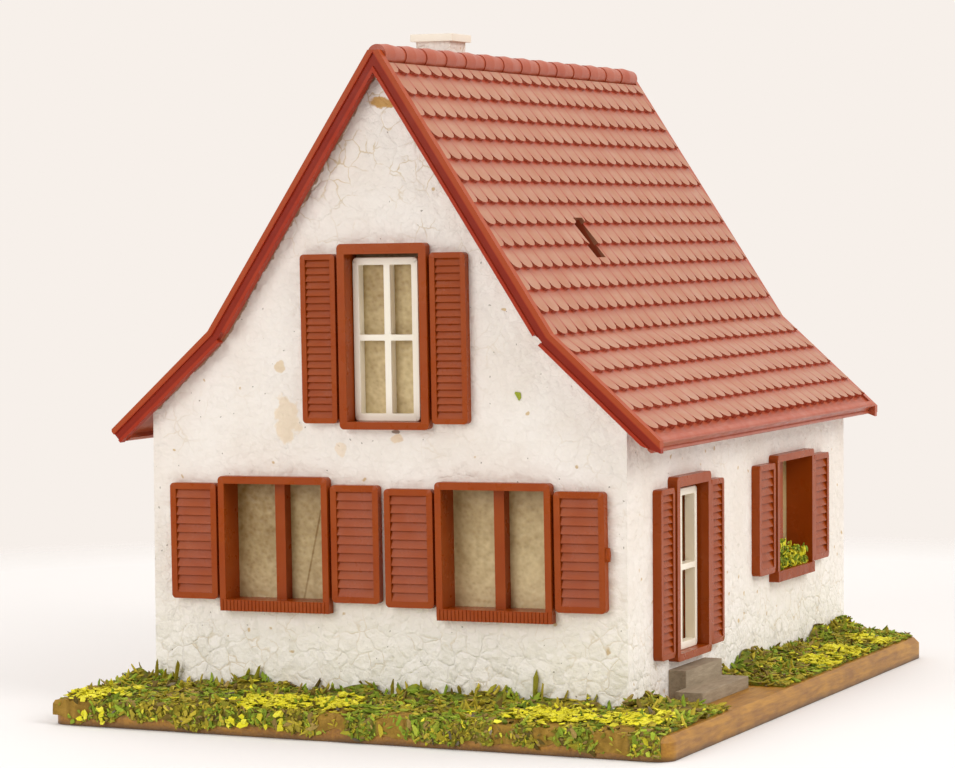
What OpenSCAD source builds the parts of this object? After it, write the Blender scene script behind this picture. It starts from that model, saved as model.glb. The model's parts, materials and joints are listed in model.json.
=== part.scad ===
// House-shaped money box: rendered board walls, a moulded tile roof with a coin slot,
// moulded window surrounds with louvred shutters, and a garden board with an emptying hole.
// Millimetres, +Z up. Origin at the middle of the board's underside, front gable towards -Y.

/* [Garden board] */
// Board left showing to the left of the house
garden_left = 17; // [16:0.5:40]
// Board left showing to the right of the house
garden_right = 31.3; // [24:0.1:60]
// Board left showing in front of the house
garden_front = 43.4; // [20:0.1:80]
// Board left showing behind the house
garden_rear = 3.8; // [3.8:0.1:40]
// Thickness of the board
base_t = 8; // [6:0.5:14]
// Radius of the board's upright corners
base_corner_r = 6; // [3:0.5:10]
// Size of the bevel round the board's top edge
base_bevel = 2; // [0.5:0.25:4]

/* [Emptying hole] */
// Diameter of the hole that the stopper plugs
hole_d = 40; // [30:1:50]
// Diameter of the recess for the stopper's flange
recess_d = 48; // [44:1:60]
// Depth of that recess
recess_h = 3.4; // [2.5:0.1:4.5]
// Thickness of the stopper's flange
flange_t = 2.6; // [1.5:0.1:3]
// Wall of the hollow stopper
stopper_wall = 2.4; // [1.5:0.1:5]
// Width of the finger bar across the stopper
finger_bar_w = 5; // [3:0.5:9]
// Gap round the stopper
stopper_gap = 0.3; // [0.2:0.05:0.6]

/* [Walls] */
// Width of the house over its side walls
house_w = 180; // [174:1:220]
// Depth of the house over its gable walls
house_d = 233; // [226:1:300]
// Thickness of the wall boards
wall_t = 3; // [2:0.1:4]
// Height of the side walls' outer face above the board
wall_h = 98.2; // [92:0.1:120]
// Side of the square glue posts in the corners
post_w = 8; // [5:0.5:12]
// Room left between a post's top and the roof
post_drop = 6; // [3:0.5:20]

/* [Roof] */
// Pitch of the steep upper part
pitch_upper = 56.8; // [54:0.1:58]
// Pitch of the flared lower part
pitch_lower = 41.9; // [38:0.1:46]
// Distance of the bend inside the side walls' outer face
bend_in = 26.75; // [20:0.25:32]
// How far the plates reach past the side walls
eave_out = 10.8; // [8:0.1:14]
// How far the plates reach past the front gable wall
front_verge_out = 2.3; // [1:0.1:6]
// How far the plates reach past the rear gable wall
rear_verge_out = 0; // [0:0.1:6]
// Thickness of the plates
roof_t = 2.4; // [1.6:0.1:3.2]

/* [Tiles] */
// Width of one tile
tile_w = 8.9; // [7:0.1:12]
// How much the front verge cuts off the first tile of every other course
first_tile_cut = 2.6; // [0.5:0.1:4]
// Length of a tile that shows on the upper part
course_h = 8.85; // [7:0.05:12]
// Number of courses on the lower part
lower_courses = 5; // [3:1:6]
// Height of a tile's tip above the plate
tip_h = 1.8; // [1.4:0.1:2.8]
// Step from one course to the next
tile_step = 1.1; // [0.8:0.05:1.4]
// How far the filler at the bend stands above the head of the course below it
bend_fill = 0.1; // [0.05:0.05:0.3]
// How far the filler at the bend runs under the course below it
bend_reach = 2.5; // [1:0.1:4]
// Depth of the round tip
tip_depth = 3.4; // [2:0.1:4.5]
// Bare strip between the last tips and the fascia
eave_strip = 3.6; // [1:0.1:6]
// Gap between the ridge cap's foot and the first course
cap_gap = 0.4; // [0.2:0.1:1]

/* [Coin slot] */
// Length of the slot, up the slope
slot_l = 17; // [16:0.1:20]
// Width of the slot, along the ridge
slot_w = 8.2; // [6:0.1:10]
// Middle of the slot from the front gable
slot_y = 82.5; // [40:0.5:200]
// Middle of the slot down the slope from the ridge
slot_s = 77; // [50:1:100]

/* [Verge boards and fascia] */
// Thickness of the verge boards
barge_t = 3.2; // [2:0.1:4]
// Width of the verge boards across their face
barge_w = 5.8; // [5:0.1:9]
// How far a front verge board stands above the plate
barge_up = 2.1; // [2:0.1:4]
// How far a rear verge board stands above the plate
rear_barge_up = 0.8; // [0.4:0.1:4]
// Strip outside the groove in a verge board's face
barge_edge = 2.0; // [1:0.05:2.5]
// Width of that groove
groove_w = 2.6; // [1:0.1:3.2]
// Depth of that groove
groove_d = 0.7; // [0.3:0.05:1.2]
// Length of the notch at a verge board's bend
notch_l = 3.6; // [2:0.1:6]
// Depth of that notch
notch_d = 1.5; // [0.5:0.1:2]
// Height above the plates' ridge line at which the verge boards are cut off
apex_cut = 0.9; // [0.2:0.1:2]
// Height of a right verge board's upright end at the eaves
right_end_h = 4.2; // [3:0.1:6]
// Rise of the cut behind that end, in degrees
right_end_rise = 20; // [0:1:30]
// Height of a left verge board's upright end at the eaves
left_end_h = 0.9; // [0.4:0.1:6]
// Thickness of the eaves fascia
fascia_t = 2.2; // [1.5:0.1:3.5]
// How far the fascia hangs below the plate
fascia_down = 1.7; // [0:0.1:3]
// How far the fascia stands above the plate
fascia_up = 1.6; // [0.8:0.1:2.6]
// Radius of the bead along the fascia
fascia_bead_r = 0.85; // [0.5:0.05:1.2]

/* [Ridge cap] */
// Number of ridge tiles
ridge_tiles = 14; // [10:1:20]
// Radius of a ridge tile at its collar
ridge_r = 3.85; // [3:0.05:6]
// Radius of a ridge tile at its tail
ridge_tail_r = 3.2; // [2.4:0.05:5]
// Depth of the ridge tiles' centre below the ridge line
ridge_drop = 0.55; // [0.2:0.05:2]
// Share of a ridge tile that is collar
ridge_collar = 0.42; // [0.2:0.01:0.6]
// How far a ridge tile runs under the next one
ridge_lap = 0.4; // [0.1:0.1:1]

/* [Chimney] */
// Side of the square stack
stack_w = 14; // [10:0.5:20]
// Middle of the stack from the middle of the house, on the left slope
stack_x = 30.75; // [24:0.25:44]
// Middle of the stack from the front gable
stack_y = 117; // [60:1:180]
// Height of the stack's top above the plates' ridge line
stack_up = 9.8; // [6:0.1:24]
// Side of the square cap
cap_w = 17.5; // [15:0.1:26]
// Thickness of the cap
cap_t = 2.8; // [2:0.1:6]
// Side of the square flue in the cap
flue_w = 8; // [5:0.5:9]
// Gap between the stack and the tiles
stack_gap = 0.25; // [0.1:0.05:0.6]

/* [Small windows] */
// Width of a shutter
small_shutter_w = 18.2; // [14:0.1:22]
// Height of a shutter
small_shutter_h = 40.7; // [34:0.1:44]
// Width of the frame
small_frame_w = 42.6; // [34:0.1:46]
// How far the frame reaches above the shutters
small_head_up = 2.6; // [2:0.1:5]
// How far the sill reaches below the shutters
small_sill_down = 3.9; // [2:0.1:5]
// Face width of the jambs
small_jamb = 2.3; // [2:0.1:4]
// Face height of the head
small_head = 2.6; // [2:0.1:4]
// Height of the sill
small_sill_h = 3.9; // [3:0.1:6]
// How far the sill stands out from the frame
small_sill_out = 0.3; // [0.3:0.1:3]
// Spacing of the ribs on the sill
sill_rib = 1.4; // [1:0.1:3]
// Width of the middle bar
small_bar_w = 3.8; // [2.5:0.1:6]
// Number of louvres in a shutter
small_louvres = 12; // [8:1:16]
// Face width of a shutter's border
small_border = 2.2; // [1.5:0.1:3]

/* [Tall windows] */
// Width of a shutter
tall_shutter_w = 13.3; // [11:0.1:17]
// Height of a shutter
tall_shutter_h = 58.3; // [50:0.1:60]
// Width of the frame
tall_frame_w = 33.7; // [30:0.1:38]
// How far the frame reaches above the shutters
tall_head_up = 3.4; // [2:0.1:5]
// How far the frame reaches below the shutters
tall_foot_down = 2.0; // [1.5:0.1:4]
// Face width of the jambs
tall_jamb = 2.8; // [2:0.1:4]
// Face height of the head
tall_head = 3.6; // [2.5:0.1:5]
// Face height of the foot
tall_foot = 2.6; // [2:0.1:4]
// Number of louvres in a shutter
tall_louvres = 22; // [14:1:26]
// Face width of a shutter's border
tall_border = 1.9; // [1.3:0.1:3]
// Width of the sash stiles
sash_stile = 2.4; // [2:0.1:5]
// Width of the sash's upright bar
sash_bar = 2.4; // [2:0.1:5]
// Height of the sash rails
sash_rail = 2.6; // [2:0.1:5]
// Height of the sash cross bar
sash_cross = 2.1; // [1.5:0.1:4]
// Height of the cross bar, as a share of the sash
sash_split = 0.51; // [0.35:0.01:0.65]
// Thickness of the sash
sash_t = 3.7; // [1.5:0.1:4]
// Gap between the sash and each side of its opening, when it stands in the middle
sash_gap = 1.65; // [1.5:0.05:2]
// Gap above the sash
sash_top_gap = 1.2; // [0.2:0.1:2]
// Radius of the sash's corners
sash_r = 1.5; // [0.5:0.1:2.2]
// How far the gable sashes stand left of the middle of their openings
gable_sash_shift = 1.4; // [0:0.1:1.4]
// How far the door's sash stands towards the front
door_sash_shift = 0.4; // [0:0.1:1.4]
// How far a gable sash's upright bar stands right of its middle
gable_bar_shift = 0.7; // [-2:0.1:2]
// How far the upright bar of the door's sash stands towards the front
door_bar_shift = 3.7; // [0:0.1:4]

/* [Window depths] */
// How far the frames stand out from the wall
frame_out = 3.6; // [3.3:0.1:7]
// Thickness of the shutters
shutter_t = 3.2; // [2.4:0.1:4]
// Radius of the frames' corners
frame_r = 1.6; // [0.5:0.1:2]
// Radius of the shutters' corners
shutter_r = 1.5; // [0.5:0.1:1.8]
// Gap between a shutter and its frame
shutter_gap = 1.1; // [0.5:0.1:3]
// Thickness of the web that joins them behind the gap
web_t = 1.2; // [0.8:0.1:2]
// How far that web runs into both
web_lap = 0.6; // [0.2:0.1:1]
// Depth of the louvre pocket in a shutter
louvre_d = 1.3; // [0.8:0.1:1.8]
// How far a small window's sleeve reaches behind the wall
small_sleeve_in = 3.9; // [1:0.1:5]
// How far a tall window's sleeve reaches behind the wall
tall_sleeve_in = 3; // [1:0.1:5]
// Wall of the sleeve
sleeve_t = 1.2; // [0.8:0.1:2]
// Gap between the sleeve and the hole in the wall
sleeve_gap = 0.25; // [0.1:0.05:0.6]
// Depth of the middle bar of a small window
bar_depth = 4.5; // [2:0.1:6]
// Thickness of the curtain film
film_t = 0.4; // [0.2:0.05:0.8]
// How far the film reaches past the sleeve
film_lap = 3; // [2:0.1:5]

/* [Window places] */
// Drop of the small windows' shutter middle below the side walls' top
small_drop = 44.8; // [40:0.1:60]
// Gap between the two small windows of a gable
window_gap = 2.3; // [0.5:0.1:6]
// How far the front gable's small windows sit right of the middle
front_shift = 0.8; // [-2:0.1:2]
// How far the front gable's tall window sits right of the middle
gable_shift = 1.9; // [-3:0.1:3]
// Tilt of the front gable's windows, right side up
front_tilt = 0.7; // [-1:0.1:1]
// Drop of the gable windows' shutter middle below the plates' ridge line
gable_drop = 97.4; // [94:0.1:104]
// Distance of the door's middle from the front gable
door_y = 54.6; // [46:0.1:70]
// Gap between the door surround and the upper step
door_gap = 2.7; // [0.5:0.1:5]
// Distance of the right wall's window from the front gable
right_window_y = 164.3; // [150:0.1:180]
// Drop of that window's shutter middle below the side walls' top
right_window_drop = 44.2; // [40:0.1:60]
// Distance of the left wall's windows from the middle of that wall
left_window_off = 56; // [46:0.5:66]

/* [Steps] */
// Middle of the upper step from the front gable
upper_step_y = 55.8; // [40:0.1:70]
// Middle of the lower step from the front gable
lower_step_y = 50.5; // [40:0.1:70]
// Length of the upper step along the wall
upper_step_l = 36; // [30:0.5:46]
// Depth of the upper step
upper_step_d = 6.5; // [5:0.5:10]
// Height of the upper step above the board
upper_step_h = 10.1; // [8:0.1:12.5]
// Length of the lower step along the wall
lower_step_l = 46.5; // [40:0.5:56]
// How far the lower step reaches past the upper one
lower_step_d = 9.9; // [5:0.1:12]
// Height of the lower step above the board
lower_step_h = 4.3; // [3:0.1:7]

/* [Turf] */
// Thickness of the scattered turf
turf_t = 4; // [1.5:0.1:5]
// Gap between the turf and what stands beside it
turf_gap = 0.6; // [0.3:0.1:2]
// Bare margin between the turf and the board's edge
turf_margin = 3.4; // [2.5:0.1:6]
// How far the turf's outer edge wanders
turf_wander = 1.6; // [0:0.1:2]
// Bare path past each end of the lower step
path_side = 6; // [3:0.5:15]
// Height of the plants on the right wall's sill
plant_h = 13; // [8:0.5:18]
// Depth of those plants
plant_d = 4; // [2:0.5:4]
// How far they stand back from the frame's front
plant_back = 0.6; // [0:0.1:2]
// Room past each end of their row
plant_side = 2; // [1:0.5:6]

/* [Hidden] */
$fn = 48;
eps = 0.01;

// Slats, as shares of the pocket's depth at their lower and upper edge and of their spacing
louvre_lip = 0.85;
louvre_root = 0.17;
louvre_share = 0.88;
// Flat part and groove depth of a sill rib, as shares of the ribs' spacing
rib_flat = 0.7;
rib_groove = 0.3;
// Degrees per millimetre of the two waves in the turf's edge
wander_long = 11;
wander_short = 29;

roof_red = "#a8452f";
tile_red = "#c27f66";
shutter_brown = "#a54d26";
render_white = "#ece6dc";
ivory = "#e2dfcb";
film_tan = "#c2b594";
board_brown = "#b98a4c";
step_grey = "#9b8c7a";
turf_green = "#83862f";
stopper_black = "#2e2c2a";

base_w = garden_left + house_w + garden_right;
base_d = garden_front + house_d + garden_rear;
house_x = (garden_left - garden_right) / 2;
house_y = garden_front - base_d / 2;

half_w = house_w / 2;
wall_top = base_t + wall_h;
roof_y0 = -front_verge_out;
roof_y1 = house_d + rear_verge_out;
eave_x = half_w + eave_out;
bend_x = half_w - bend_in;
bend_s = bend_x / cos(pitch_upper);
lower_len = (eave_x - bend_x) / cos(pitch_lower);

// Outward normals of the two parts of the right slope, and the mitre between them
normal_upper = [sin(pitch_upper), cos(pitch_upper)];
normal_lower = [sin(pitch_lower), cos(pitch_lower)];
normal_bend = (normal_upper + normal_lower) / (1 + normal_upper * normal_lower);
down_lower = [cos(pitch_lower), -sin(pitch_lower)];

// The plates rest on the side walls' outer top edge; bend and ridge follow from there
bend_rise = (bend_in + roof_t * normal_bend[0]) * tan(pitch_lower) + roof_t * normal_bend[1];
bend_z = wall_top + bend_rise;
ridge_h = bend_z + bend_x * tan(pitch_upper);
stack_top = ridge_h + stack_up;

small_sleeve_end = wall_t + small_sleeve_in;
tall_sleeve_end = wall_t + tall_sleeve_in;

small_z = wall_top - small_drop;
small_total = small_frame_w + 2 * (shutter_gap + small_shutter_w);
small_x = (small_total + window_gap) / 2;
gable_z = ridge_h - gable_drop;
door_z = base_t + upper_step_h + door_gap + tall_foot_down + tall_shutter_h / 2;
right_window_z = wall_top - right_window_drop;

// Right half of a line that runs at distance n above the plates, as [x, z] points.
// The last point lies extra past the end of the plates.
function roof_line(n, extra = 0) = [
    [0, ridge_h + n / cos(pitch_upper)],
    [bend_x, bend_z] + n * normal_bend,
    [bend_x, bend_z] + (lower_len + extra) * down_lower + n * normal_lower,
];
function backwards(list) = [for (i = [len(list) - 1 : -1 : 0]) list[i]];
function mirrored(points) = [for (p = points) [-p[0], p[1]]];

// Height of the plates' underside at x, for x outside the bend
function under_z(x) =
    let (bend = roof_line(-roof_t)[1])
    bend[1] - (x - bend[0]) * tan(pitch_lower);

// Extrude a shape drawn in x and z along Y
module along_y(y0, y1) {
    translate([0, y1, 0]) rotate([90, 0, 0]) linear_extrude(y1 - y0) children();
}

// Move from the house's own frame, with Y from the front gable's face, to the board's
module at_house() {
    translate([house_x, house_y, 0]) children();
}

// Put a shape that is drawn outward along -Y on one of the walls
module on_front(x, z) {
    translate([x, 0, z]) rotate([0, -front_tilt, 0]) children();
}
module on_rear(x, z) {
    translate([x, house_d, z]) rotate([0, 0, 180]) children();
}
module on_right(y, z) {
    translate([half_w, y, z]) rotate([0, 0, 90]) children();
}
module on_left(y, z) {
    translate([-half_w, y, z]) rotate([0, 0, -90]) children();
}

// Band of the right half roof between two distances from the plates' top
module roof_band(low, high, extra = 0) {
    polygon(concat(roof_line(high, extra), backwards(roof_line(low, extra))));
}

// Frames that lie on the two parts of the right slope: x down the slope, z away from it
module on_upper() {
    translate([0, 0, ridge_h]) rotate([0, pitch_upper, 0]) children();
}
module on_lower() {
    translate([bend_x, 0, bend_z]) rotate([0, pitch_lower, 0]) children();
}

module slot_cut() {
    reach = 2 * (roof_t + tip_h);
    on_upper() translate([slot_s - slot_l / 2, slot_y - slot_w / 2, -reach])
        cube([slot_l, slot_w, 2 * reach]);
}

// Garden board and stopper

module board_outline(inset) {
    x = base_w / 2 - base_corner_r;
    y = base_d / 2 - base_corner_r;
    for (sx = [-1, 1])
        for (sy = [-1, 1])
            translate([sx * x, sy * y]) circle(base_corner_r - inset);
    square([2 * x, base_d - 2 * inset], center = true);
    square([base_w - 2 * inset, 2 * y], center = true);
}

module base_board() {
    color(board_brown) difference() {
        union() {
            linear_extrude(base_t - base_bevel) board_outline(0);
            board_bevel();
        }
        translate([house_x, house_y + house_d / 2, 0]) {
            translate([0, 0, -1]) cylinder(d = hole_d, h = base_t + 2);
            translate([0, 0, -1]) cylinder(d = recess_d, h = recess_h + 1);
        }
    }
}

// Sloping rim above the board's upright edge: cones at the corners, wedges between
module board_bevel() {
    x = base_w / 2 - base_corner_r;
    y = base_d / 2 - base_corner_r;
    z = base_t - base_bevel;
    r_top = base_corner_r - base_bevel;
    for (sx = [-1, 1])
        for (sy = [-1, 1])
            translate([sx * x, sy * y, z]) cylinder(r1 = base_corner_r, r2 = r_top, h = base_bevel);
    translate([0, y, 0]) rotate([90, 0, 0]) linear_extrude(2 * y)
        bevel_section(base_w / 2, z);
    translate([-x, 0, 0]) rotate([90, 0, 90]) linear_extrude(2 * x)
        bevel_section(base_d / 2, z);
}

module bevel_section(half, z) {
    polygon([[-half, z], [half, z], [half - base_bevel, base_t], [base_bevel - half, base_t]]);
}

module stopper() {
    flange_r = recess_d / 2 - stopper_gap;
    plug_r = hole_d / 2 - stopper_gap;
    flange_z = recess_h - flange_t;
    color(stopper_black) at_house() translate([0, house_d / 2, 0]) {
        difference() {
            union() {
                translate([0, 0, flange_z]) cylinder(r = flange_r, h = flange_t);
                translate([0, 0, flange_z]) cylinder(r = plug_r, h = base_t - flange_z);
            }
            translate([0, 0, flange_z - 1])
                cylinder(r = plug_r - stopper_wall, h = base_t - flange_z - stopper_wall + 1);
        }
        intersection() {
            translate([0, 0, flange_z])
                cylinder(r = plug_r - stopper_wall / 2, h = base_t - flange_z - stopper_wall / 2);
            translate([-plug_r, -finger_bar_w / 2, flange_z])
                cube([2 * plug_r, finger_bar_w, base_t - flange_z]);
        }
    }
}

// Walls

module gable_outline() {
    under = roof_line(-roof_t);
    right = [[half_w, base_t], [half_w, under_z(half_w)], under[1]];
    polygon(concat(right, [under[0]], backwards(mirrored(right))));
}

module front_gable_wall() {
    color(render_white) at_house() difference() {
        along_y(0, wall_t) gable_outline();
        on_front(front_shift - small_x, small_z) small_window_hole();
        on_front(front_shift + small_x, small_z) small_window_hole();
        on_front(gable_shift, gable_z) tall_window_hole();
    }
}

module rear_gable_wall() {
    color(render_white) at_house() difference() {
        along_y(house_d - wall_t, house_d) gable_outline();
        on_rear(-small_x, small_z) small_window_hole();
        on_rear(small_x, small_z) small_window_hole();
        on_rear(0, gable_z) tall_window_hole();
    }
}

module side_wall_board() {
    inner = half_w - wall_t;
    along_y(wall_t, house_d - wall_t) polygon([
        [inner, base_t], [half_w, base_t], [half_w, under_z(half_w)], [inner, under_z(inner)],
    ]);
}

module right_wall() {
    color(render_white) at_house() difference() {
        side_wall_board();
        on_right(door_y, door_z) tall_window_hole();
        on_right(right_window_y, right_window_z) small_window_hole();
    }
}

module left_wall() {
    color(render_white) at_house() difference() {
        mirror([1, 0, 0]) side_wall_board();
        for (side = [-1, 1])
            on_left(house_d / 2 + side * left_window_off, small_z) small_window_hole();
    }
}

module corner_post(side_x, y) {
    top = under_z(half_w - wall_t) - post_drop;
    x = side_x > 0 ? half_w - wall_t - post_w : wall_t - half_w;
    color("tan") at_house() translate([x, y, base_t]) cube([post_w, post_w, top - base_t]);
}

module front_left_post() {
    corner_post(-1, wall_t);
}
module front_right_post() {
    corner_post(1, wall_t);
}
module rear_left_post() {
    corner_post(-1, house_d - wall_t - post_w);
}
module rear_right_post() {
    corner_post(1, house_d - wall_t - post_w);
}

// Roof

module roof_plate() {
    along_y(roof_y0, roof_y1) roof_band(-roof_t, 0);
}

module roof_left() {
    color(roof_red) at_house() mirror([1, 0, 0]) roof_plate();
}

module roof_right() {
    color(roof_red) at_house() difference() {
        roof_plate();
        slot_cut();
    }
}

// First tile starts where the ridge cap ends on the plate
cap_foot = ridge_drop * cos(pitch_upper);
tile_start = ridge_drop * sin(pitch_upper) + sqrt(ridge_r * ridge_r - cap_foot * cap_foot) + cap_gap;
upper_courses = floor((bend_s - tile_start - tip_depth) / course_h) + 1;
lower_course_h = (lower_len - eave_strip) / lower_courses;
tiles_across = ceil((roof_y1 - roof_y0 + first_tile_cut) / tile_w) + 1;
tip_steps = 6;
end_spare = 0.4;

// Lower edge of a course: one round tip after another, as [down the slope, along the ridge]
function tip_row(s, y_start) = [
    for (i = [0 : tiles_across - 1])
        for (k = [0 : tip_steps - 1])
            let (a = 180 * k / tip_steps)
            [s - tip_depth * (1 - sin(a)), y_start + (i + (1 - cos(a)) / 2) * tile_w]
];

// One course: a wedge with its thick end at s, cut to round tips, beginning at s_top
module tile_course(s, length, odd, s_top) {
    wedge_l = length * tip_h / tile_step;
    y_start = roof_y0 - first_tile_cut - (odd ? tile_w / 2 : 0);
    y_end = y_start + tiles_across * tile_w;
    head = max(s_top, s - wedge_l);
    intersection() {
        along_y(roof_y0 - end_spare, roof_y1 + end_spare) polygon([[s - wedge_l, 0], [s, 0], [s, tip_h]]);
        linear_extrude(2 * tip_h) polygon(concat(
            [[head, y_start]], tip_row(s, y_start), [[s - tip_depth, y_end], [head, y_end]]
        ));
    }
}

// Filler under the tips above the bend, which runs over the bend and into the first course below it
module bend_course() {
    turn = pitch_upper - pitch_lower;
    head = tip_h - tile_step;
    height = head + bend_fill;
    wedge_l = course_h * height / tile_step;
    foot = [bend_s + bend_reach * cos(turn), bend_reach * sin(turn)];
    along_y(roof_y0 - end_spare, roof_y1 + end_spare) polygon([
        [bend_s - wedge_l, 0],
        [bend_s, 0],
        foot,
        foot + head * [-sin(turn), cos(turn)],
        [bend_s - height * sin(turn / 2), height * cos(turn / 2)]
    ]);
}

// All courses of the right slope, cut off plumb at both verges
module tile_face() {
    intersection() {
        union() {
            on_upper() {
                for (j = [0 : upper_courses - 1])
                    tile_course(bend_s - j * course_h, course_h, j % 2 == 1, tile_start);
                bend_course();
            }
            on_lower()
                for (i = [1 : lower_courses])
                    tile_course(i * lower_course_h, lower_course_h, i % 2 == 1, 0);
        }
        along_y(roof_y0, roof_y1) square([house_w, 2 * ridge_h]);
    }
}

module roof_left_tiles() {
    side = stack_w + 2 * stack_gap;
    color(tile_red) at_house() difference() {
        mirror([1, 0, 0]) tile_face();
        translate([-stack_x - side / 2, stack_y - side / 2, 0]) cube([side, side, 2 * ridge_h]);
    }
}

module roof_right_tiles() {
    color(tile_red) at_house() difference() {
        tile_face();
        slot_cut();
    }
}

// Right half of a verge board whose grooved face is at y and whose back is barge_t behind it.
// It stands up above the plate. Its outer end is upright for end_h, and the cut behind rises at end_rise.
module verge_board(y, up, end_h, end_rise) {
    tip = roof_line(up, fascia_t)[2];
    past = fascia_t + barge_w;
    cut_l = 3 * barge_w;
    cut_x = tip[0] - cut_l;
    foot_z = tip[1] - end_h;
    top_z = ridge_h + apex_cut;
    groove_top = up - barge_edge;
    difference() {
        along_y(y, y + barge_t) intersection() {
            roof_band(up - barge_w, up, past);
            polygon([[-1, top_z], [-1, 0], [cut_x, 0], [cut_x, foot_z + cut_l * tan(end_rise)],
                [tip[0], foot_z], [tip[0], top_z]]);
        }
        along_y(y - 1, y + groove_d) roof_band(groove_top - groove_w, groove_top, past + 1);
        along_y(y - 1, y + barge_t + 1) bend_notch(up - barge_w);
    }
}
// Saw cut at the bend, in the lower edge of a verge board, low being that edge's distance from the plate
module bend_notch(low) {
    foot = [bend_x, bend_z] + low * normal_bend;
    angle = (pitch_upper + pitch_lower) / 2;
    translate(foot) rotate(-angle) translate([-notch_l, -notch_d]) square([notch_l, 2 * notch_d]);
}

module right_verge_board(y, up) {
    verge_board(y, up, right_end_h, right_end_rise);
}
// The left board's end is cut square across it
module left_verge_board(y, up) {
    mirror([1, 0, 0]) verge_board(y, up, left_end_h, pitch_lower - 90);
}
module front_right_verge_board() {
    color(roof_red) at_house() right_verge_board(roof_y0 - barge_t, barge_up);
}
module front_left_verge_board() {
    color(roof_red) at_house() left_verge_board(roof_y0 - barge_t, barge_up);
}
module rear_right_verge_board() {
    color(roof_red) at_house() mirror([0, 1, 0]) right_verge_board(-roof_y1 - barge_t, rear_barge_up);
}
module rear_left_verge_board() {
    color(roof_red) at_house() mirror([0, 1, 0]) left_verge_board(-roof_y1 - barge_t, rear_barge_up);
}

// Fascia strip on the right plate's end, with a bead along its lower and upper edge
module fascia() {
    low = -roof_t - fascia_down;
    on_lower() translate([lower_len, 0, 0]) along_y(roof_y0, roof_y1) {
        translate([0, low]) square([fascia_t - fascia_bead_r, fascia_up - low]);
        translate([fascia_t - fascia_bead_r, low + fascia_bead_r]) circle(fascia_bead_r);
        translate([fascia_t - fascia_bead_r, fascia_up - fascia_bead_r]) circle(fascia_bead_r);
    }
}

module right_fascia() {
    color(roof_red) at_house() fascia();
}
module left_fascia() {
    color(roof_red) at_house() mirror([1, 0, 0]) fascia();
}

// Row of round ridge tiles, each a collar and a tail that tapers to the next
module ridge_cap() {
    length = (roof_y1 - roof_y0) / ridge_tiles;
    collar = length * ridge_collar;
    reach = 3 * ridge_r;
    color(roof_red) at_house() difference() {
        for (i = [0 : ridge_tiles - 1])
            translate([0, roof_y0 + i * length, ridge_h - ridge_drop]) rotate([-90, 0, 0]) {
                cylinder(r1 = (ridge_r + ridge_tail_r) / 2, r2 = ridge_r, h = collar);
                translate([0, 0, collar]) cylinder(r1 = ridge_r, r2 = ridge_tail_r, h = length - collar);
                if (i > 0) translate([0, 0, -ridge_lap]) cylinder(r = ridge_tail_r, h = 2 * ridge_lap);
            }
        along_y(roof_y0 - 1, roof_y1 + 1) polygon([
            [0, ridge_h],
            [reach, ridge_h - reach * tan(pitch_upper)],
            [-reach, ridge_h - reach * tan(pitch_upper)],
        ]);
    }
}

// Chimney

module chimney_stack() {
    near = stack_x - stack_w / 2;
    far = stack_x + stack_w / 2;
    color(render_white) at_house() along_y(stack_y - stack_w / 2, stack_y + stack_w / 2) polygon([
        [-near, stack_top], [-far, stack_top],
        [-far, ridge_h - far * tan(pitch_upper)], [-near, ridge_h - near * tan(pitch_upper)],
    ]);
}

module chimney_cap() {
    color(ivory) at_house() translate([-stack_x, stack_y, stack_top]) linear_extrude(cap_t) difference() {
        square(cap_w, center = true);
        square(flue_w, center = true);
    }
}

// Windows, drawn for the front gable with Y = 0 on the wall's face

small_frame_z0 = -small_shutter_h / 2 - small_sill_down;
small_frame_z1 = small_shutter_h / 2 + small_head_up;
small_open_w = small_frame_w - 2 * small_jamb;
small_open_z0 = small_frame_z0 + small_sill_h;
small_open_z1 = small_frame_z1 - small_head;
tall_frame_z0 = -tall_shutter_h / 2 - tall_foot_down;
tall_frame_z1 = tall_shutter_h / 2 + tall_head_up;
tall_open_w = tall_frame_w - 2 * tall_jamb;
tall_open_z0 = tall_frame_z0 + tall_foot;
tall_open_z1 = tall_frame_z1 - tall_head;

// Upright rectangle between two heights, cut or grown by grow on every side
module upright_rect(w, z0, z1, grow = 0) {
    translate([-w / 2 - grow, z0 - grow]) square([w + 2 * grow, z1 - z0 + 2 * grow]);
}

// The same with round corners
module soft_rect(w, z0, z1, r) {
    upright_rect(w - 2 * r, z0, z1);
    upright_rect(w, z0 + r, z1 - r);
    for (side = [-1, 1])
        for (z = [z0 + r, z1 - r])
            translate([side * (w / 2 - r), z]) circle(r);
}

module window_hole(w, z0, z1) {
    along_y(-1, wall_t + 1) upright_rect(w, z0, z1, sleeve_t + sleeve_gap);
}
module small_window_hole() {
    window_hole(small_open_w, small_open_z0, small_open_z1);
}
module tall_window_hole() {
    window_hole(tall_open_w, tall_open_z0, tall_open_z1);
}

// Frame in front of the wall, and the sleeve that carries it through the wall
module frame_and_sleeve(frame_w, z0, z1, open_w, open_z0, open_z1, sleeve_end) {
    along_y(-frame_out, 0) difference() {
        soft_rect(frame_w, z0, z1, frame_r);
        upright_rect(open_w, open_z0, open_z1);
    }
    along_y(-eps, sleeve_end) difference() {
        upright_rect(open_w, open_z0, open_z1, sleeve_t);
        upright_rect(open_w, open_z0, open_z1);
    }
}

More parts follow.
